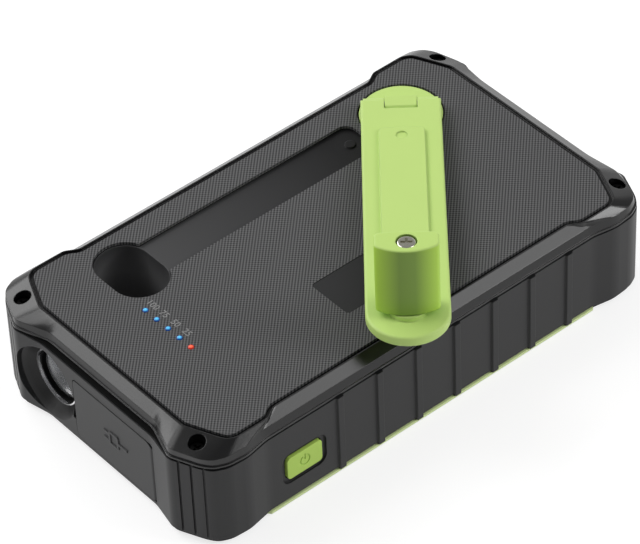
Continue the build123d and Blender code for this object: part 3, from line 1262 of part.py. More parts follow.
def drive_gear_screw():
    one = screw(GEAR_SCREW_HEAD, GEAR_SCREW_HEAD_HEIGHT, GEAR_SCREW_SHANK, GEAR_SCREW_LENGTH)
    return Pos(HUB_X, HUB_Y, DRIVE_GEAR_LOW) * Rot(180, 0, 0) * one


def hinge_pin():
    return arm_frame() * Rot(90, 0, 0) * Cylinder(PIN_RADIUS, PIN_LENGTH)


def crank_arm():
    half = ARM_WIDTH / 2
    outer_face = ARM_INNER - ARM_THICKNESS
    blade_plan = Pos(ARM_REACH / 2, 0) * Rectangle(ARM_REACH, ARM_WIDTH) + Pos(ARM_REACH, 0) * Circle(half)
    blade = prism(blade_plan, outer_face, ARM_INNER)
    edges = blade.edges().group_by(Axis.Z)
    blade = fillet(edges[0] + edges[-1], ARM_EDGE)
    ear_width = ARM_WIDTH - 2 * ARM_EDGE
    arm = blade + Rot(90, 0, 0) * Cylinder(ARM_EAR, ear_width)
    rib_length = RIB_END - RIB_START
    rib_face = Pos(RIB_START + rib_length / 2, 0) * RectangleRounded(rib_length, ARM_RIB_WIDTH, 1.5)
    arm += prism(rib_face, ARM_INNER - 0.2, ARM_INNER + ARM_RIB_HEIGHT)
    arm += disc(ARM_REACH, 0, COLLAR_RADIUS, ARM_INNER, ARM_INNER + ARM_RIB_HEIGHT + COLLAR_HEIGHT)
    arm += disc(ARM_REACH, 0, POST_RADIUS, ARM_INNER, post_top())
    notch_face = Pos(0, 0) * Rectangle(2 * NOTCH_REACH, NOTCH_WIDTH)
    arm -= prism(notch_face, -2 * ARM_THICKNESS, 2 * ARM_THICKNESS)
    arm -= disc(DETENT_REACH, 0, DETENT_RADIUS + FIT_GAP, ARM_INNER + ARM_RIB_HEIGHT - DETENT_DEPTH,
                ARM_INNER + ARM_RIB_HEIGHT)
    arm -= Rot(90, 0, 0) * Cylinder(PIN_RADIUS + RUN_GAP, 2 * ARM_WIDTH)
    arm -= disc(ARM_REACH, 0, SCREW_SHANK, post_top() - KNOB_SCREW_LENGTH, post_top())
    return arm_frame() * arm


def knob_bottom():
    return ARM_INNER + ARM_RIB_HEIGHT + COLLAR_HEIGHT + KNOB_GAP


def knob_top():
    return ARM_INNER + KNOB_HEIGHT


def post_top():
    return knob_top() - KNOB_SHOULDER + 0.2


def crank_knob():
    half_width, half_depth = KNOB_WIDTH / 2, KNOB_DEPTH / 2
    ahead, behind = half_depth - KNOB_BULGE, KNOB_BACK_BULGE - half_depth
    front = ThreePointArc((ahead, -half_width), (half_depth, 0), (ahead, half_width))
    back = ThreePointArc((behind, half_width), (-half_depth, 0), (behind, -half_width))
    sides = Line((ahead, half_width), (behind, half_width)) + Line((behind, -half_width), (ahead, -half_width))
    knob = prism(make_face(front + back + sides), knob_bottom(), knob_top())
    knob = fillet(knob.edges().filter_by(Axis.Z), 1.6)
    knob = fillet(knob.edges().group_by(Axis.Z)[-1], KNOB_EDGE)
    knob -= Cylinder(POST_RADIUS + RUN_GAP, 4 * KNOB_HEIGHT)
    knob -= disc(0, 0, KNOB_SCREW_HEAD + 2 * FIT_GAP, knob_top() - KNOB_SHOULDER, knob_top())
    return arm_frame() * Pos(ARM_REACH, 0, 0) * knob


def knob_screw():
    one = screw(KNOB_SCREW_HEAD, KNOB_SCREW_HEAD_HEIGHT, SCREW_SHANK, KNOB_SCREW_LENGTH)
    return arm_frame() * Pos(ARM_REACH, 0, post_top()) * one


# ================================================================ write every piece
PIECES = {
    "rear_cover": rear_cover,
    "rear_trim_ring": rear_trim_ring,
    "side_bumper": side_bumper,
    "case_gasket": case_gasket,
    "top_shell": top_shell,
    "top_panel": top_panel,
    "label_plate": label_plate,
    "crank_tray": crank_tray,
    "corner_screws": corner_screws,
    "indicator_board": indicator_board,
    "torch_ring": torch_ring,
    "torch_housing": torch_housing,
    "torch_lens": torch_lens,
    "torch_reflector": torch_reflector,
    "torch_led": torch_led,
    "torch_led_board": torch_led_board,
    "port_cover": port_cover,
    "port_cover_pin": port_cover_pin,
    "usb_c_socket": usb_c_socket,
    "power_button": power_button,
    "power_switch": power_switch,
    "switch_board": switch_board,
    "main_board": main_board,
    "board_screws": board_screws,
    "boost_inductor": boost_inductor,
    "control_chip": control_chip,
    "smoothing_capacitors": smoothing_capacitors,
    "battery_foam_pad": battery_foam_pad,
    "battery_cradle": battery_cradle,
    "battery_strap": battery_strap,
    "drive_gear": drive_gear,
    "compound_gear": compound_gear,
    "compound_axle": compound_axle,
    "gearbox_base_plate": gearbox_base_plate,
    "gearbox_top_plate": gearbox_top_plate,
    "gearbox_pillars": gearbox_pillars,
    "generator_can": generator_can,
    "stator_core": stator_core,
    "stator_coils": stator_coils,
    "rotor_magnet": rotor_magnet,
    "rotor_shaft": rotor_shaft,
    "hub_bush": hub_bush,
    "crank_hub": crank_hub,
    "drive_gear_screw": drive_gear_screw,
    "hinge_pin": hinge_pin,
    "crank_arm": crank_arm,
    "crank_knob": crank_knob,
    "knob_screw": knob_screw,
}

for node, make in PIECES.items():
    export_step(make(), f"parts/{node}.step")
for index, node in enumerate(LIGHT_NAMES):
    export_step(charge_light(index), f"parts/{node}.step")
for index, node in enumerate(("usb_socket_left", "usb_socket_right")):
    export_step(usb_socket(index), f"parts/{node}.step")
for index, node in enumerate(("battery_cell_lower", "battery_cell_upper")):
    export_step(battery_cell(index), f"parts/{node}.step")
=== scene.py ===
import bpy
import bmesh
import math
from mathutils import Matrix, Vector


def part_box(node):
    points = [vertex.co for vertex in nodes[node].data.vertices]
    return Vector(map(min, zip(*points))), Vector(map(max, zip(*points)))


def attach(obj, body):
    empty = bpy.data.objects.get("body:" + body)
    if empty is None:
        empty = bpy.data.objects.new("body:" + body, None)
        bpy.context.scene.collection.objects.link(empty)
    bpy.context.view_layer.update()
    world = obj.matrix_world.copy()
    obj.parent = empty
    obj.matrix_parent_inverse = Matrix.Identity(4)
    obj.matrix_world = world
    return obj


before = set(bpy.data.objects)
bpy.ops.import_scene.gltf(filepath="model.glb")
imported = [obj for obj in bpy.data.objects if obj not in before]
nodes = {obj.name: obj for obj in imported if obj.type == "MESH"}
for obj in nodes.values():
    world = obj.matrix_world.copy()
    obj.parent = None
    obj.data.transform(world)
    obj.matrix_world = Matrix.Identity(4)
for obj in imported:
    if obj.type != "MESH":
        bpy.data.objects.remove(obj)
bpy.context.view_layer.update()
scene = bpy.context.scene
MM = 0.001

# ---------------------------------------------------------------- camera, floor and light
PICTURE_WIDTH = 640        # pixels
FOCAL_LENGTH = 3900        # in pixels of that width
SENSOR_WIDTH = 36
NEAR_CLIP = 0.05
FAR_CLIP = 20
VIEW_AZIMUTH = math.radians(-38.6414)
VIEW_ELEVATION = math.radians(42.5572)
VIEW_ROLL = math.radians(-2.6424)
VIEW_TARGET = Vector((-4.505, -3.571, 24.674)) * MM
VIEW_DISTANCE = 1.01063
WALL_LINE = (0.30, 0.62)   # height on the sky where the white wall gives way to the ceiling
CEILING = 0.30
ROOM_LIGHT = 0.37
ROOM_SLOPE = 0.16          # how much lighter the room is behind the charger than in front of it
SOFTBOX_DISTANCE = 1.2
SOFTBOXES = (              # name, direction from the charger, width, height, radiance
    ("back_softbox", (-0.24, 0.75, 0.62), 1.42, 0.40, 4.4),
    ("side_softbox", (0.46, -0.51, 0.72), 0.50, 0.46, 3.4),
    ("left_softbox", (-0.33, 0.46, 0.82), 0.46, 0.36, 3.6),
    ("right_softbox", (0.58, -0.67, 0.47), 0.34, 0.28, 10.0),
)
FLOOR_SIZE = 6.0
FLOOR_DROP = 0.2 * MM      # floor under the charger's foot
FLOOR_CLOTH = 0.80         # what the floor throws back at the charger
FLOOR_ROUGHNESS = 0.95
FLOOR_GLOW = 0.72          # how white the floor shows even in shade
FLOOR_SHADE = 0.42

# ---------------------------------------------------------------- finishes
MIX_FIRST, MIX_SECOND, MIX_COLOUR = 6, 7, 2   # sockets of a colour mix
GRAIN_DETAIL = 3.0
GRAIN_STRENGTH = 0.5
EDGE_SAMPLES = 6
CLOUD_SCALE = 60.0         # slow unevenness of a colour
CLOUD_DETAIL = 2.0

WEAVE_PITCH = 1.1 * MM     # cord to cord, along X or Y
WEAVE_DARK = "2C2C2D"
WEAVE_LIGHT = "686869"
CORD_SHARE = 0.44
CROSS_SHARE = 0.40
WEAVE_MIDDLE = 0.5
PATCH_SCALE = 220.0
PATCH_NOISE = (0.35, 0.65)
PATCH_STRENGTH = (0.25, 1.0)
WEAVE_STRENGTH = 0.4
WEAVE_DEPTH = 0.03 * MM

# painted light and shade on the tray, not the tray's own colour
TRAY_PAINTED_SHADE_SPAN = (-38 * MM, 25 * MM)  # along X, from painted light to painted shade
TRAY_PAINTED_LIGHT = "434344"
TRAY_PAINTED_SHADE = "121213"
POCKET_PAINTED_LIGHT_SPAN = (22 * MM, 30 * MM)    # up Z, from the painted light deep in the pocket to its mouth
POCKET_PAINTED_LIGHT = "6A6A6B"

# painted shade and painted highlight on the knob's grip, and painted light on its top
GRIP_PAINTED_SHADE = "7E9C45"
GRIP_PAINTED_HIGHLIGHT = "B6DE54"
GRIP_PAINTED_SPAN = (2.0 * MM, 7.8 * MM)  # from the knob's middle line, from painted shade to painted highlight
TOP_PAINTED_LIGHT_TURN = (0.15, 0.75)             # rise of the normal, from the grip to the top's painted light
KNOB_TURN = math.radians(40)        # brings the knob's width, with the crank unfolded, along X

TORCH_AXIS = (21.2 * MM, 13.7 * MM)           # Y and Z
FLARE_EDGE = (9.9 * MM, 10.9 * MM)            # radii between which the flare's painted shade fades out
FLARE_END = -60 * MM                          # the painted shade stops here, along X
FLARE_FADE = 1 * MM
# painted shade in the torch's flared mouth
FLARE_PAINTED_SHADE = "0A0A0B"

LENS_CLEARNESS = 0.9
LENS_INDEX = 1.46

# ---------------------------------------------------------------- domes and numbers
LAMP_ROUGHNESS = 0.2
DOME_SEGMENTS = 24
DOME_RINGS = 12
DOME_RISE = 0.3            # of its radius
GLOW_FALL = 1.5            # how soon the lamp's bright middle gives way to its rim
PANEL_TOP = 31.8 * MM
INK = 0.02 * MM
NUMBER_HEIGHT = 1.9 * MM
NUMBER_BESIDE = (2.6 * MM, 0.2 * MM)          # from the middle of its light, along X and Y
FIGURE_SHARE = 0.7         # of the type's size that a figure is high
FIGURE_STEPS = 3
WELD = 1e-7                # points closer than this are one


def set_camera():
    a, e, r = VIEW_AZIMUTH, VIEW_ELEVATION, VIEW_ROLL
    back = Vector((math.sin(a) * math.cos(e), -math.cos(a) * math.cos(e), math.sin(e)))
    right = Vector((math.cos(a), math.sin(a), 0))
    up = back.cross(right)
    turned_right = right * math.cos(r) + up * math.sin(r)
    turned_up = up * math.cos(r) - right * math.sin(r)
    camera = bpy.data.objects.new("camera", bpy.data.cameras.new("camera"))
    camera.data.lens = FOCAL_LENGTH / PICTURE_WIDTH * SENSOR_WIDTH
    camera.data.sensor_width = SENSOR_WIDTH
    camera.data.sensor_fit = "HORIZONTAL"
    camera.data.clip_start = NEAR_CLIP
    camera.data.clip_end = FAR_CLIP
    axes = Matrix((turned_right, turned_up, back)).transposed().to_4x4()
    camera.matrix_world = Matrix.Translation(VIEW_TARGET + back * VIEW_DISTANCE) @ axes
    scene.collection.objects.link(camera)
    scene.camera = camera


def softbox(name, towards, width, height, radiance):
    """Area lamp that looks at the charger from a direction."""
    lamp = bpy.data.lights.new(name, "AREA")
    lamp.shape = "RECTANGLE"
    lamp.size = width
    lamp.size_y = height
    lamp.energy = radiance * math.pi * width * height
    holder = bpy.data.objects.new(name, lamp)
    away = Vector(towards).normalized()
    facing = away.to_track_quat("Z", "Y").to_matrix().to_4x4()
    holder.matrix_world = Matrix.Translation(away * SOFTBOX_DISTANCE) @ facing
    scene.collection.objects.link(holder)


def math_node(tree, operation, first, second=0.0):
    """Sum, product or other pairing of two sockets or numbers."""
    node = tree.nodes.new("ShaderNodeMath")
    node.operation = operation
    for socket, value in zip(node.inputs, (first, second)):
        if isinstance(value, (int, float)):
            socket.default_value = value
        else:
            tree.links.new(value, socket)
    return node.outputs[0]


def seen_plainly(tree):
    """The camera's rays, then all rays that show the backdrop: camera, mirror and glass rays."""
    path = tree.nodes.new("ShaderNodeLightPath").outputs
    some = math_node(tree, "MAXIMUM", path["Is Camera Ray"], path["Is Glossy Ray"])
    return path["Is Camera Ray"], math_node(tree, "MAXIMUM", some, path["Is Transmission Ray"])


def set_light():
    """White studio walls, a dimmer ceiling and four softboxes."""
    world = bpy.data.worlds.new("studio")
    world.use_nodes = True
    tree = world.node_tree
    camera_ray, plain_ray = seen_plainly(tree)
    direction = tree.nodes.new("ShaderNodeSeparateXYZ")
    tree.links.new(tree.nodes.new("ShaderNodeTexCoord").outputs["Generated"], direction.inputs[0])
    ceiling = tree.nodes.new("ShaderNodeMapRange")
    ceiling.interpolation_type = "SMOOTHSTEP"
    ceiling.inputs["From Min"].default_value = WALL_LINE[0]
    ceiling.inputs["From Max"].default_value = WALL_LINE[1]
    ceiling.inputs["To Min"].default_value = 1.0
    ceiling.inputs["To Max"].default_value = CEILING
    tree.links.new(direction.outputs["Z"], ceiling.inputs["Value"])
    shown = math_node(tree, "MAXIMUM", ceiling.outputs[0], camera_ray)
    backdrop = math_node(tree, "MULTIPLY", plain_ray, shown)
    slope = math_node(tree, "MULTIPLY", direction.outputs["Y"], ROOM_SLOPE)
    room = math_node(tree, "ADD", slope, ROOM_LIGHT)
    fill = math_node(tree, "MULTIPLY", math_node(tree, "SUBTRACT", 1.0, plain_ray), room)
    background = tree.nodes["Background"]
    background.inputs["Color"].default_value = (1.0, 1.0, 1.0, 1)
    tree.links.new(math_node(tree, "ADD", backdrop, fill), background.inputs["Strength"])
    scene.world = world
    for box in SOFTBOXES:
        softbox(*box)


def make_floor():
    """Pale floor that shows nearly white and takes a faint shadow."""
    mesh = bpy.data.meshes.new("floor")
    shape = bmesh.new()
    bmesh.ops.create_grid(shape, x_segments=1, y_segments=1, size=FLOOR_SIZE)
    bmesh.ops.translate(shape, verts=shape.verts, vec=(0, 0, -FLOOR_DROP))
    shape.to_mesh(mesh)
    shape.free()
    floor = bpy.data.objects.new("floor", mesh)
    scene.collection.objects.link(floor)
    paint = bpy.data.materials.new("pale_floor")
    paint.use_nodes = True
    tree = paint.node_tree
    cloth = tree.nodes["Principled BSDF"]
    cloth.inputs["Base Color"].default_value = (FLOOR_CLOTH, FLOOR_CLOTH, FLOOR_CLOTH, 1)
    cloth.inputs["Roughness"].default_value = FLOOR_ROUGHNESS
    cloth.inputs["Specular IOR Level"].default_value = 0.0
    faint = tree.nodes.new("ShaderNodeBsdfDiffuse")
    faint.inputs["Color"].default_value = (FLOOR_SHADE, FLOOR_SHADE, FLOOR_SHADE, 1)
    glow = tree.nodes.new("ShaderNodeEmission")
    glow.inputs["Strength"].default_value = FLOOR_GLOW
    shown = tree.nodes.new("ShaderNodeAddShader")
    tree.links.new(faint.outputs[0], shown.inputs[0])
    tree.links.new(glow.outputs[0], shown.inputs[1])
    choice = tree.nodes.new("ShaderNodeMixShader")
    tree.links.new(seen_plainly(tree)[1], choice.inputs["Fac"])
    tree.links.new(cloth.outputs[0], choice.inputs[1])
    tree.links.new(shown.outputs[0], choice.inputs[2])
    tree.links.new(choice.outputs[0], tree.nodes["Material Output"].inputs["Surface"])
    mesh.materials.append(paint)


def linear(hex_colour):
    """Colour from its written form, such as 3D3D3E."""
    values = [int(hex_colour[i:i + 2], 16) / 255 for i in (0, 2, 4)]
    return [v / 12.92 if v <= 0.04045 else ((v + 0.055) / 1.055) ** 2.4 for v in values] + [1.0]


class Finish:
    """One material and its node tree."""

    def __init__(self, name, colour, roughness, metal=0.0, specular=0.5):
        self.name = name
        self.material = bpy.data.materials.new(name)
        self.material.use_nodes = True
        self.tree = self.material.node_tree
        self.shader = self.tree.nodes["Principled BSDF"]
        self.colour = linear(colour)
        self.shader.inputs["Base Color"].default_value = self.colour
        self.shader.inputs["Roughness"].default_value = roughness
        self.shader.inputs["Metallic"].default_value = metal
        self.shader.inputs["Specular IOR Level"].default_value = specular

    def add(self, kind, **settings):
        node = self.tree.nodes.new(kind)
        for key, value in settings.items():
            if isinstance(value, (int, float, str, bool)) and hasattr(node, key):
                setattr(node, key, value)
            else:
                node.inputs[key].default_value = value
        return node

    def join(self, source, target):
        self.tree.links.new(source, target)

    def paint(self, colour):
        self.join(colour, self.shader.inputs["Base Color"])

    def place(self):
        return self.add("ShaderNodeTexCoord").outputs["Object"]

    def axes(self, vector):
        """X, Y and Z of a vector."""
        split = self.add("ShaderNodeSeparateXYZ")
        self.join(vector, split.inputs[0])
        return split.outputs

    def ramp(self, value, low, high):
        """0 below low, 1 above high."""
        ramp = self.add("ShaderNodeMapRange")
        ramp.inputs["From Min"].default_value = low
        ramp.inputs["From Max"].default_value = high
        self.join(value, ramp.inputs["Value"])
        return ramp.outputs[0]

    def blend(self, share, first, second):
        """Colour from first, where share is 0, to second, where it is 1."""
        mix = self.add("ShaderNodeMix", data_type="RGBA")
        for socket, colour in ((mix.inputs[MIX_FIRST], first), (mix.inputs[MIX_SECOND], second)):
            if isinstance(colour, list):
                socket.default_value = colour
            else:
                self.join(colour, socket)
        self.join(share, mix.inputs["Factor"])
        return mix.outputs[MIX_COLOUR]

    def bump(self, height, strength, depth):
        bump = self.add("ShaderNodeBump", Strength=strength, Distance=depth)
        self.join(height, bump.inputs["Height"])
        self.join(bump.outputs["Normal"], self.shader.inputs["Normal"])
        return bump

    def grain(self, size, depth, shade=0.0, edge=0.0):
        """Fine moulded grain of a size and depth, unevenness of the colour by a share, and
        edges softened to a radius. Lengths are in millimetres."""
        noise = self.add("ShaderNodeTexNoise", Scale=1 / (size * MM), Detail=GRAIN_DETAIL)
        self.join(self.place(), noise.inputs["Vector"])
        bump = self.bump(noise.outputs["Fac"], GRAIN_STRENGTH, depth * MM)
        if edge:
            rounding = self.add("ShaderNodeBevel", samples=EDGE_SAMPLES)
            rounding.inputs["Radius"].default_value = edge * MM
            self.join(rounding.outputs["Normal"], bump.inputs["Normal"])
        if shade:
            cloud = self.add("ShaderNodeTexNoise", Scale=CLOUD_SCALE, Detail=CLOUD_DETAIL)
            self.join(self.place(), cloud.inputs["Vector"])
            dark = [c * (1 - shade) for c in self.colour[:3]] + [1]
            light = [min(1, c * (1 + shade)) for c in self.colour[:3]] + [1]
            self.paint(self.blend(cloud.outputs["Fac"], dark, light))
        return self


def make_finishes():
    """All finishes, by name."""
    made = (
        Finish("case_black", "0D0D0E", 0.22, specular=0.45).grain(0.25, 0.002, 0.06, 0.3),
        Finish("bumper_grey", "232324", 0.42, specular=0.30).grain(0.3, 0.004, 0.05, 0.25),
        Finish("cover_black", "1C1C1D", 0.5, specular=0.3).grain(0.3, 0.008, 0.05, 0.3),
        Finish("shadow_rubber", "080808", 0.8, specular=0.1).grain(0.4, 0.01, 0.1),
        Finish("panel", "515151", 0.6, specular=0.2),
        Finish("label_black", "282829", 0.5, specular=0.25).grain(0.2, 0.003, 0.04, 0.15),
        Finish("tray_black", "2B2B2C", 0.42, specular=0.25).grain(0.25, 0.004, 0.0, 0.4),
        Finish("flap_grey", "2A2A2B", 0.45, specular=0.36).grain(0.3, 0.006, 0.05, 0.3),
        Finish("crank_green", "C2DF80", 0.40, specular=0.3).grain(0.3, 0.003, 0.02, 0.5),
        Finish("knob_green", "C0DE7C", 0.45, specular=0.3).grain(0.3, 0.003, 0.0, 0.5),
        Finish("button_green", "BEE068", 0.45, specular=0.3).grain(0.3, 0.004, 0.03, 0.3),
        Finish("trim_green", "E8FAB4", 0.4).grain(0.3, 0.004, 0.02, 0.2),
        Finish("chrome", "E4E4E6", 0.2, metal=1.0).grain(4.0, 0.001, 0.02),
        Finish("bright_screw", "D4D2C4", 0.14, metal=1.0).grain(1.1, 0.05, 0.02),
        Finish("steel", "B5B6B8", 0.32, metal=1.0).grain(0.2, 0.002, 0.05),
        Finish("black_steel", "0E0E0F", 0.4, metal=0.6).grain(0.2, 0.002, 0.05),
        Finish("brass", "C9A45A", 0.3, metal=1.0).grain(0.2, 0.002, 0.05),
        Finish("copper", "B4653A", 0.35, metal=1.0).grain(0.15, 0.01, 0.1),
        Finish("nylon", "E4E1D4", 0.45).grain(0.4, 0.004, 0.03),
        Finish("board_green", "1C5A36", 0.4).grain(0.5, 0.004, 0.12),
        Finish("board_white", "E2E3E3", 0.45).grain(0.5, 0.004, 0.03),
        Finish("chip_black", "131314", 0.4).grain(0.2, 0.004, 0.05),
        Finish("foil", "C3C4C8", 0.38, metal=0.85).grain(2.5, 0.05, 0.05),
        Finish("foam", "5A5A5C", 0.95, specular=0.1).grain(0.5, 0.2, 0.15),
        Finish("ferrite", "2B2B2D", 0.55).grain(0.2, 0.01, 0.1),
        Finish("mirror", "77777A", 0.3, metal=1.0).grain(6.0, 0.001, 0.01),
        Finish("led_dome", "F2E27A", 0.15).grain(0.5, 0.002, 0.02),
        Finish("number_grey", "8E8E8E", 0.6, specular=0.2).grain(0.2, 0.002, 0.05),
        clear_lens(),
        lit("blue_lamp", "063C82", "58C4F4", 0.42),
        lit("red_lamp", "A81C0C", "FF6A48", 0.40),
    )
    return {finish.name: finish for finish in made}


def panel_weave(finish):
    """Fine diagonal cords of the panel with lighter cross threads, stronger in patches."""
    tree = finish.tree
    spot = finish.axes(finish.place())

    def cord(operation, amount):
        across = math_node(tree, operation, spot["X"], spot["Y"])
        turn = math_node(tree, "MULTIPLY", across, 2 * math.pi / WEAVE_PITCH)
        return math_node(tree, "MULTIPLY", math_node(tree, "COSINE", turn), amount)

    patches = finish.add("ShaderNodeTexNoise", Scale=PATCH_SCALE, Detail=1.0)
    finish.join(finish.place(), patches.inputs["Vector"])
    spread = finish.add("ShaderNodeMapRange")
    for end, noise, strength in zip(("Min", "Max"), PATCH_NOISE, PATCH_STRENGTH):
        spread.inputs["From " + end].default_value = noise
        spread.inputs["To " + end].default_value = strength
    finish.join(patches.outputs["Fac"], spread.inputs["Value"])
    cross = math_node(tree, "MULTIPLY", cord("ADD", CROSS_SHARE), spread.outputs[0])
    both = math_node(tree, "ADD", cord("SUBTRACT", CORD_SHARE), cross)
    weave = math_node(tree, "ADD", both, WEAVE_MIDDLE)
    finish.paint(finish.blend(weave, linear(WEAVE_DARK), linear(WEAVE_LIGHT)))
    finish.bump(weave, WEAVE_STRENGTH, WEAVE_DEPTH)


def tray_painted_light_and_shade(finish):
    """The tray: painted light at the pocket's end of the channel, painted shade darker towards
    the hub, and a grey painted down in the pocket as painted light that lifts its shade."""
    spot = finish.axes(finish.place())
    # painted light and shade: lighter channel end, darker towards the hub, lighter deep in the
    # pocket
    along = finish.ramp(spot["X"], *TRAY_PAINTED_SHADE_SPAN)
    up = finish.ramp(spot["Z"], *POCKET_PAINTED_LIGHT_SPAN)
    channel = finish.blend(along, linear(TRAY_PAINTED_LIGHT), linear(TRAY_PAINTED_SHADE))
    finish.paint(finish.blend(up, linear(POCKET_PAINTED_LIGHT), channel))


def knob_painted_light_and_shade(finish):
    """The knob: painted shade darkens its grip, deepest in its middle, painted highlights lighten
    the grip's sides, and faces that look up get a painted light top.
    """
    low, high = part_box("crank_knob")
    middle = (Vector(low) + Vector(high)) / 2
    centred = finish.add("ShaderNodeMapping", vector_type="POINT")
    centred.inputs["Rotation"].default_value = (0, 0, KNOB_TURN)
    centred.inputs["Location"].default_value = -(Matrix.Rotation(KNOB_TURN, 3, "Z") @ middle)
    finish.join(finish.place(), centred.inputs["Vector"])
    aside = math_node(finish.tree, "ABSOLUTE", finish.axes(centred.outputs["Vector"])["X"])
    # painted shade in the grip's middle, painted highlight at its sides
    across = finish.ramp(aside, *GRIP_PAINTED_SPAN)
    grip = finish.blend(across, linear(GRIP_PAINTED_SHADE), linear(GRIP_PAINTED_HIGHLIGHT))
    normal = finish.add("ShaderNodeNewGeometry").outputs["Normal"]
    # painted light on faces that look up
    top = finish.ramp(finish.axes(normal)["Z"], *TOP_PAINTED_LIGHT_TURN)
    finish.paint(finish.blend(top, grip, finish.colour))


def flare_painted_shade(finish):
    """Painted shade inside the torch's flared mouth, within a radius of the torch's axis."""
    tree = finish.tree
    spot = finish.axes(finish.place())
    squares = []
    for axis, centre in zip("YZ", TORCH_AXIS):
        offset = math_node(tree, "SUBTRACT", spot[axis], centre)
        squares.append(math_node(tree, "POWER", offset, 2.0))
    radius = math_node(tree, "SQRT", math_node(tree, "ADD", *squares))
    # painted shade within the flare's mouth
    outside = finish.ramp(radius, *FLARE_EDGE)
    behind = finish.ramp(spot["X"], FLARE_END - FLARE_FADE, FLARE_END)
    plain = math_node(tree, "MAXIMUM", outside, behind)
    outer = finish.shader.inputs["Base Color"].links[0].from_socket
    finish.paint(finish.blend(plain, linear(FLARE_PAINTED_SHADE), outer))


def clear_lens():
    lens = Finish("clear_lens", "F2F4F5", 0.05)
    lens.shader.inputs["Transmission Weight"].default_value = LENS_CLEARNESS
    lens.shader.inputs["IOR"].default_value = LENS_INDEX
    return lens


def lit(name, rim, middle, strength):
    """Coloured lamp under its dome: bright in the middle, deeper at its rim."""
    lamp = Finish(name, rim, LAMP_ROUGHNESS)
    depth = lamp.add("ShaderNodeAttribute", attribute_name="middle")
    colour = lamp.blend(depth.outputs["Fac"], linear(rim), linear(middle))
    lamp.paint(colour)
    lamp.join(colour, lamp.shader.inputs["Emission Color"])
    lamp.shader.inputs["Emission Strength"].default_value = strength
    return lamp


def piece(name, shape, finish, body):
    """New piece in one finish, which rides a body."""
    mesh = bpy.data.meshes.new(name)
    shape.to_mesh(mesh)
    shape.free()
    mesh.materials.append(finish.material)
    made = bpy.data.objects.new(name, mesh)
    scene.collection.objects.link(made)
    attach(made, body)


def dome(name, node, finish):
    """Low dome on a light pipe; its middle is marked for the glow."""
    low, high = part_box(node)
    middle = Vector(((low[0] + high[0]) / 2, (low[1] + high[1]) / 2, high[2]))
    radius = (high[0] - low[0]) / 2
    shape = bmesh.new()
    bmesh.ops.create_uvsphere(
        shape, u_segments=DOME_SEGMENTS, v_segments=DOME_RINGS, radius=radius)
    low_half = [vert for vert in shape.verts if vert.co.z < -WELD]
    bmesh.ops.delete(shape, geom=low_half, context="VERTS")
    bmesh.ops.holes_fill(shape, edges=shape.edges, sides=0)
    bmesh.ops.scale(shape, vec=(1, 1, DOME_RISE), verts=shape.verts)
    bmesh.ops.recalc_face_normals(shape, faces=shape.faces)
    glow = shape.verts.layers.float.new("middle")
    for vert in shape.verts:
        vert[glow] = max(0.0, 1 - (vert.co.xy.length / radius) ** 2 * GLOW_FALL)
    bmesh.ops.translate(shape, vec=middle, verts=shape.verts)
    for face in shape.faces:
        face.smooth = len(face.verts) < 5     # all but the flat base
    piece(name, shape, finish, "case")


def number(words, place, finish):
    """Plain printed number on the panel, read from the -X end."""
    text = bpy.data.curves.new("number_" + words, "FONT")
    text.body = words
    text.size = NUMBER_HEIGHT / FIGURE_SHARE
    text.extrude = INK
    text.resolution_u = FIGURE_STEPS
    text.align_x = "CENTER"
    text.align_y = "CENTER"
    drawn = bpy.data.objects.new("number_curve", text)
    mesh = bpy.data.meshes.new_from_object(drawn)
    bpy.data.objects.remove(drawn)
    shape = bmesh.new()
    shape.from_mesh(mesh)
    bpy.data.meshes.remove(mesh)
    turn = Matrix.Translation(place) @ Matrix.Rotation(-math.pi / 2, 4, "Z")
    bmesh.ops.transform(shape, matrix=turn, verts=shape.verts)
    bmesh.ops.remove_doubles(shape, verts=shape.verts, dist=WELD)
    bmesh.ops.recalc_face_normals(shape, faces=shape.faces)
    piece("number_" + words, shape, finish, "case")


# ---------------------------------------------------------------- the scene
scene.view_settings.view_transform = "Standard"
set_camera()
set_light()
make_floor()
finishes = make_finishes()
panel_weave(finishes["panel"])
# painted light and shade on the tray, the knob and the torch's flare
tray_painted_light_and_shade(finishes["tray_black"])
knob_painted_light_and_shade(finishes["knob_green"])
flare_painted_shade(finishes["bumper_grey"])

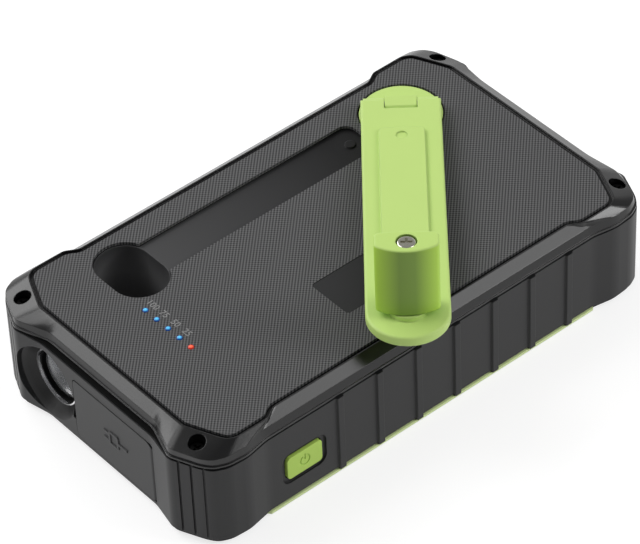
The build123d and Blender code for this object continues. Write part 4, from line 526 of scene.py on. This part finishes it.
NODE_FINISHES = {
    "case_black": ("top_shell",),
    "cover_black": ("rear_cover",),
    "bumper_grey": ("side_bumper",),
    "shadow_rubber": ("case_gasket", "torch_housing"),
    "panel": ("top_panel",),
    "label_black": ("label_plate",),
    "tray_black": ("crank_tray",),
    "flap_grey": ("port_cover",),
    "crank_green": ("crank_hub", "crank_arm"),
    "knob_green": ("crank_knob",),
    "button_green": ("power_button",),
    "trim_green": ("rear_trim_ring",),
    "chrome": ("torch_ring",),
    "bright_screw": ("knob_screw",),
    "steel": (
        "usb_c_socket", "usb_socket_left", "usb_socket_right", "port_cover_pin", "board_screws",
        "battery_strap", "compound_axle", "gearbox_base_plate", "gearbox_top_plate",
        "generator_can", "drive_gear_screw", "hinge_pin",
    ),
    "black_steel": ("corner_screws", "stator_core"),
    "brass": ("gearbox_pillars", "rotor_shaft", "hub_bush"),
    "copper": ("stator_coils",),
    "nylon": ("drive_gear", "compound_gear"),
    "board_green": ("indicator_board", "switch_board", "main_board"),
    "board_white": ("torch_led_board",),
    "chip_black": ("power_switch", "control_chip", "battery_cradle"),
    "foil": ("battery_cell_lower", "battery_cell_upper", "smoothing_capacitors"),
    "foam": ("battery_foam_pad",),
    "ferrite": ("boost_inductor", "rotor_magnet"),
    "mirror": ("torch_reflector",),
    "led_dome": ("torch_led",),
    "clear_lens": ("torch_lens",),
    "blue_lamp": ("charge_light_100", "charge_light_75", "charge_light_50", "charge_light_25"),
    "red_lamp": ("low_charge_light",),
}
for finish_name, members in NODE_FINISHES.items():
    for member in members:
        for slot in nodes[member].material_slots:
            slot.material = finishes[finish_name].material

for level in ("100", "75", "50", "25"):
    pipe = "charge_light_" + level
    dome("light_dome_" + level, pipe, finishes["blue_lamp"])
    low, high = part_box(pipe)
    beside = Vector((
        (low[0] + high[0]) / 2 + NUMBER_BESIDE[0],
        (low[1] + high[1]) / 2 + NUMBER_BESIDE[1],
        PANEL_TOP + INK,
    ))
    number(level, beside, finishes["number_grey"])
dome("light_dome_low", "low_charge_light", finishes["red_lamp"])
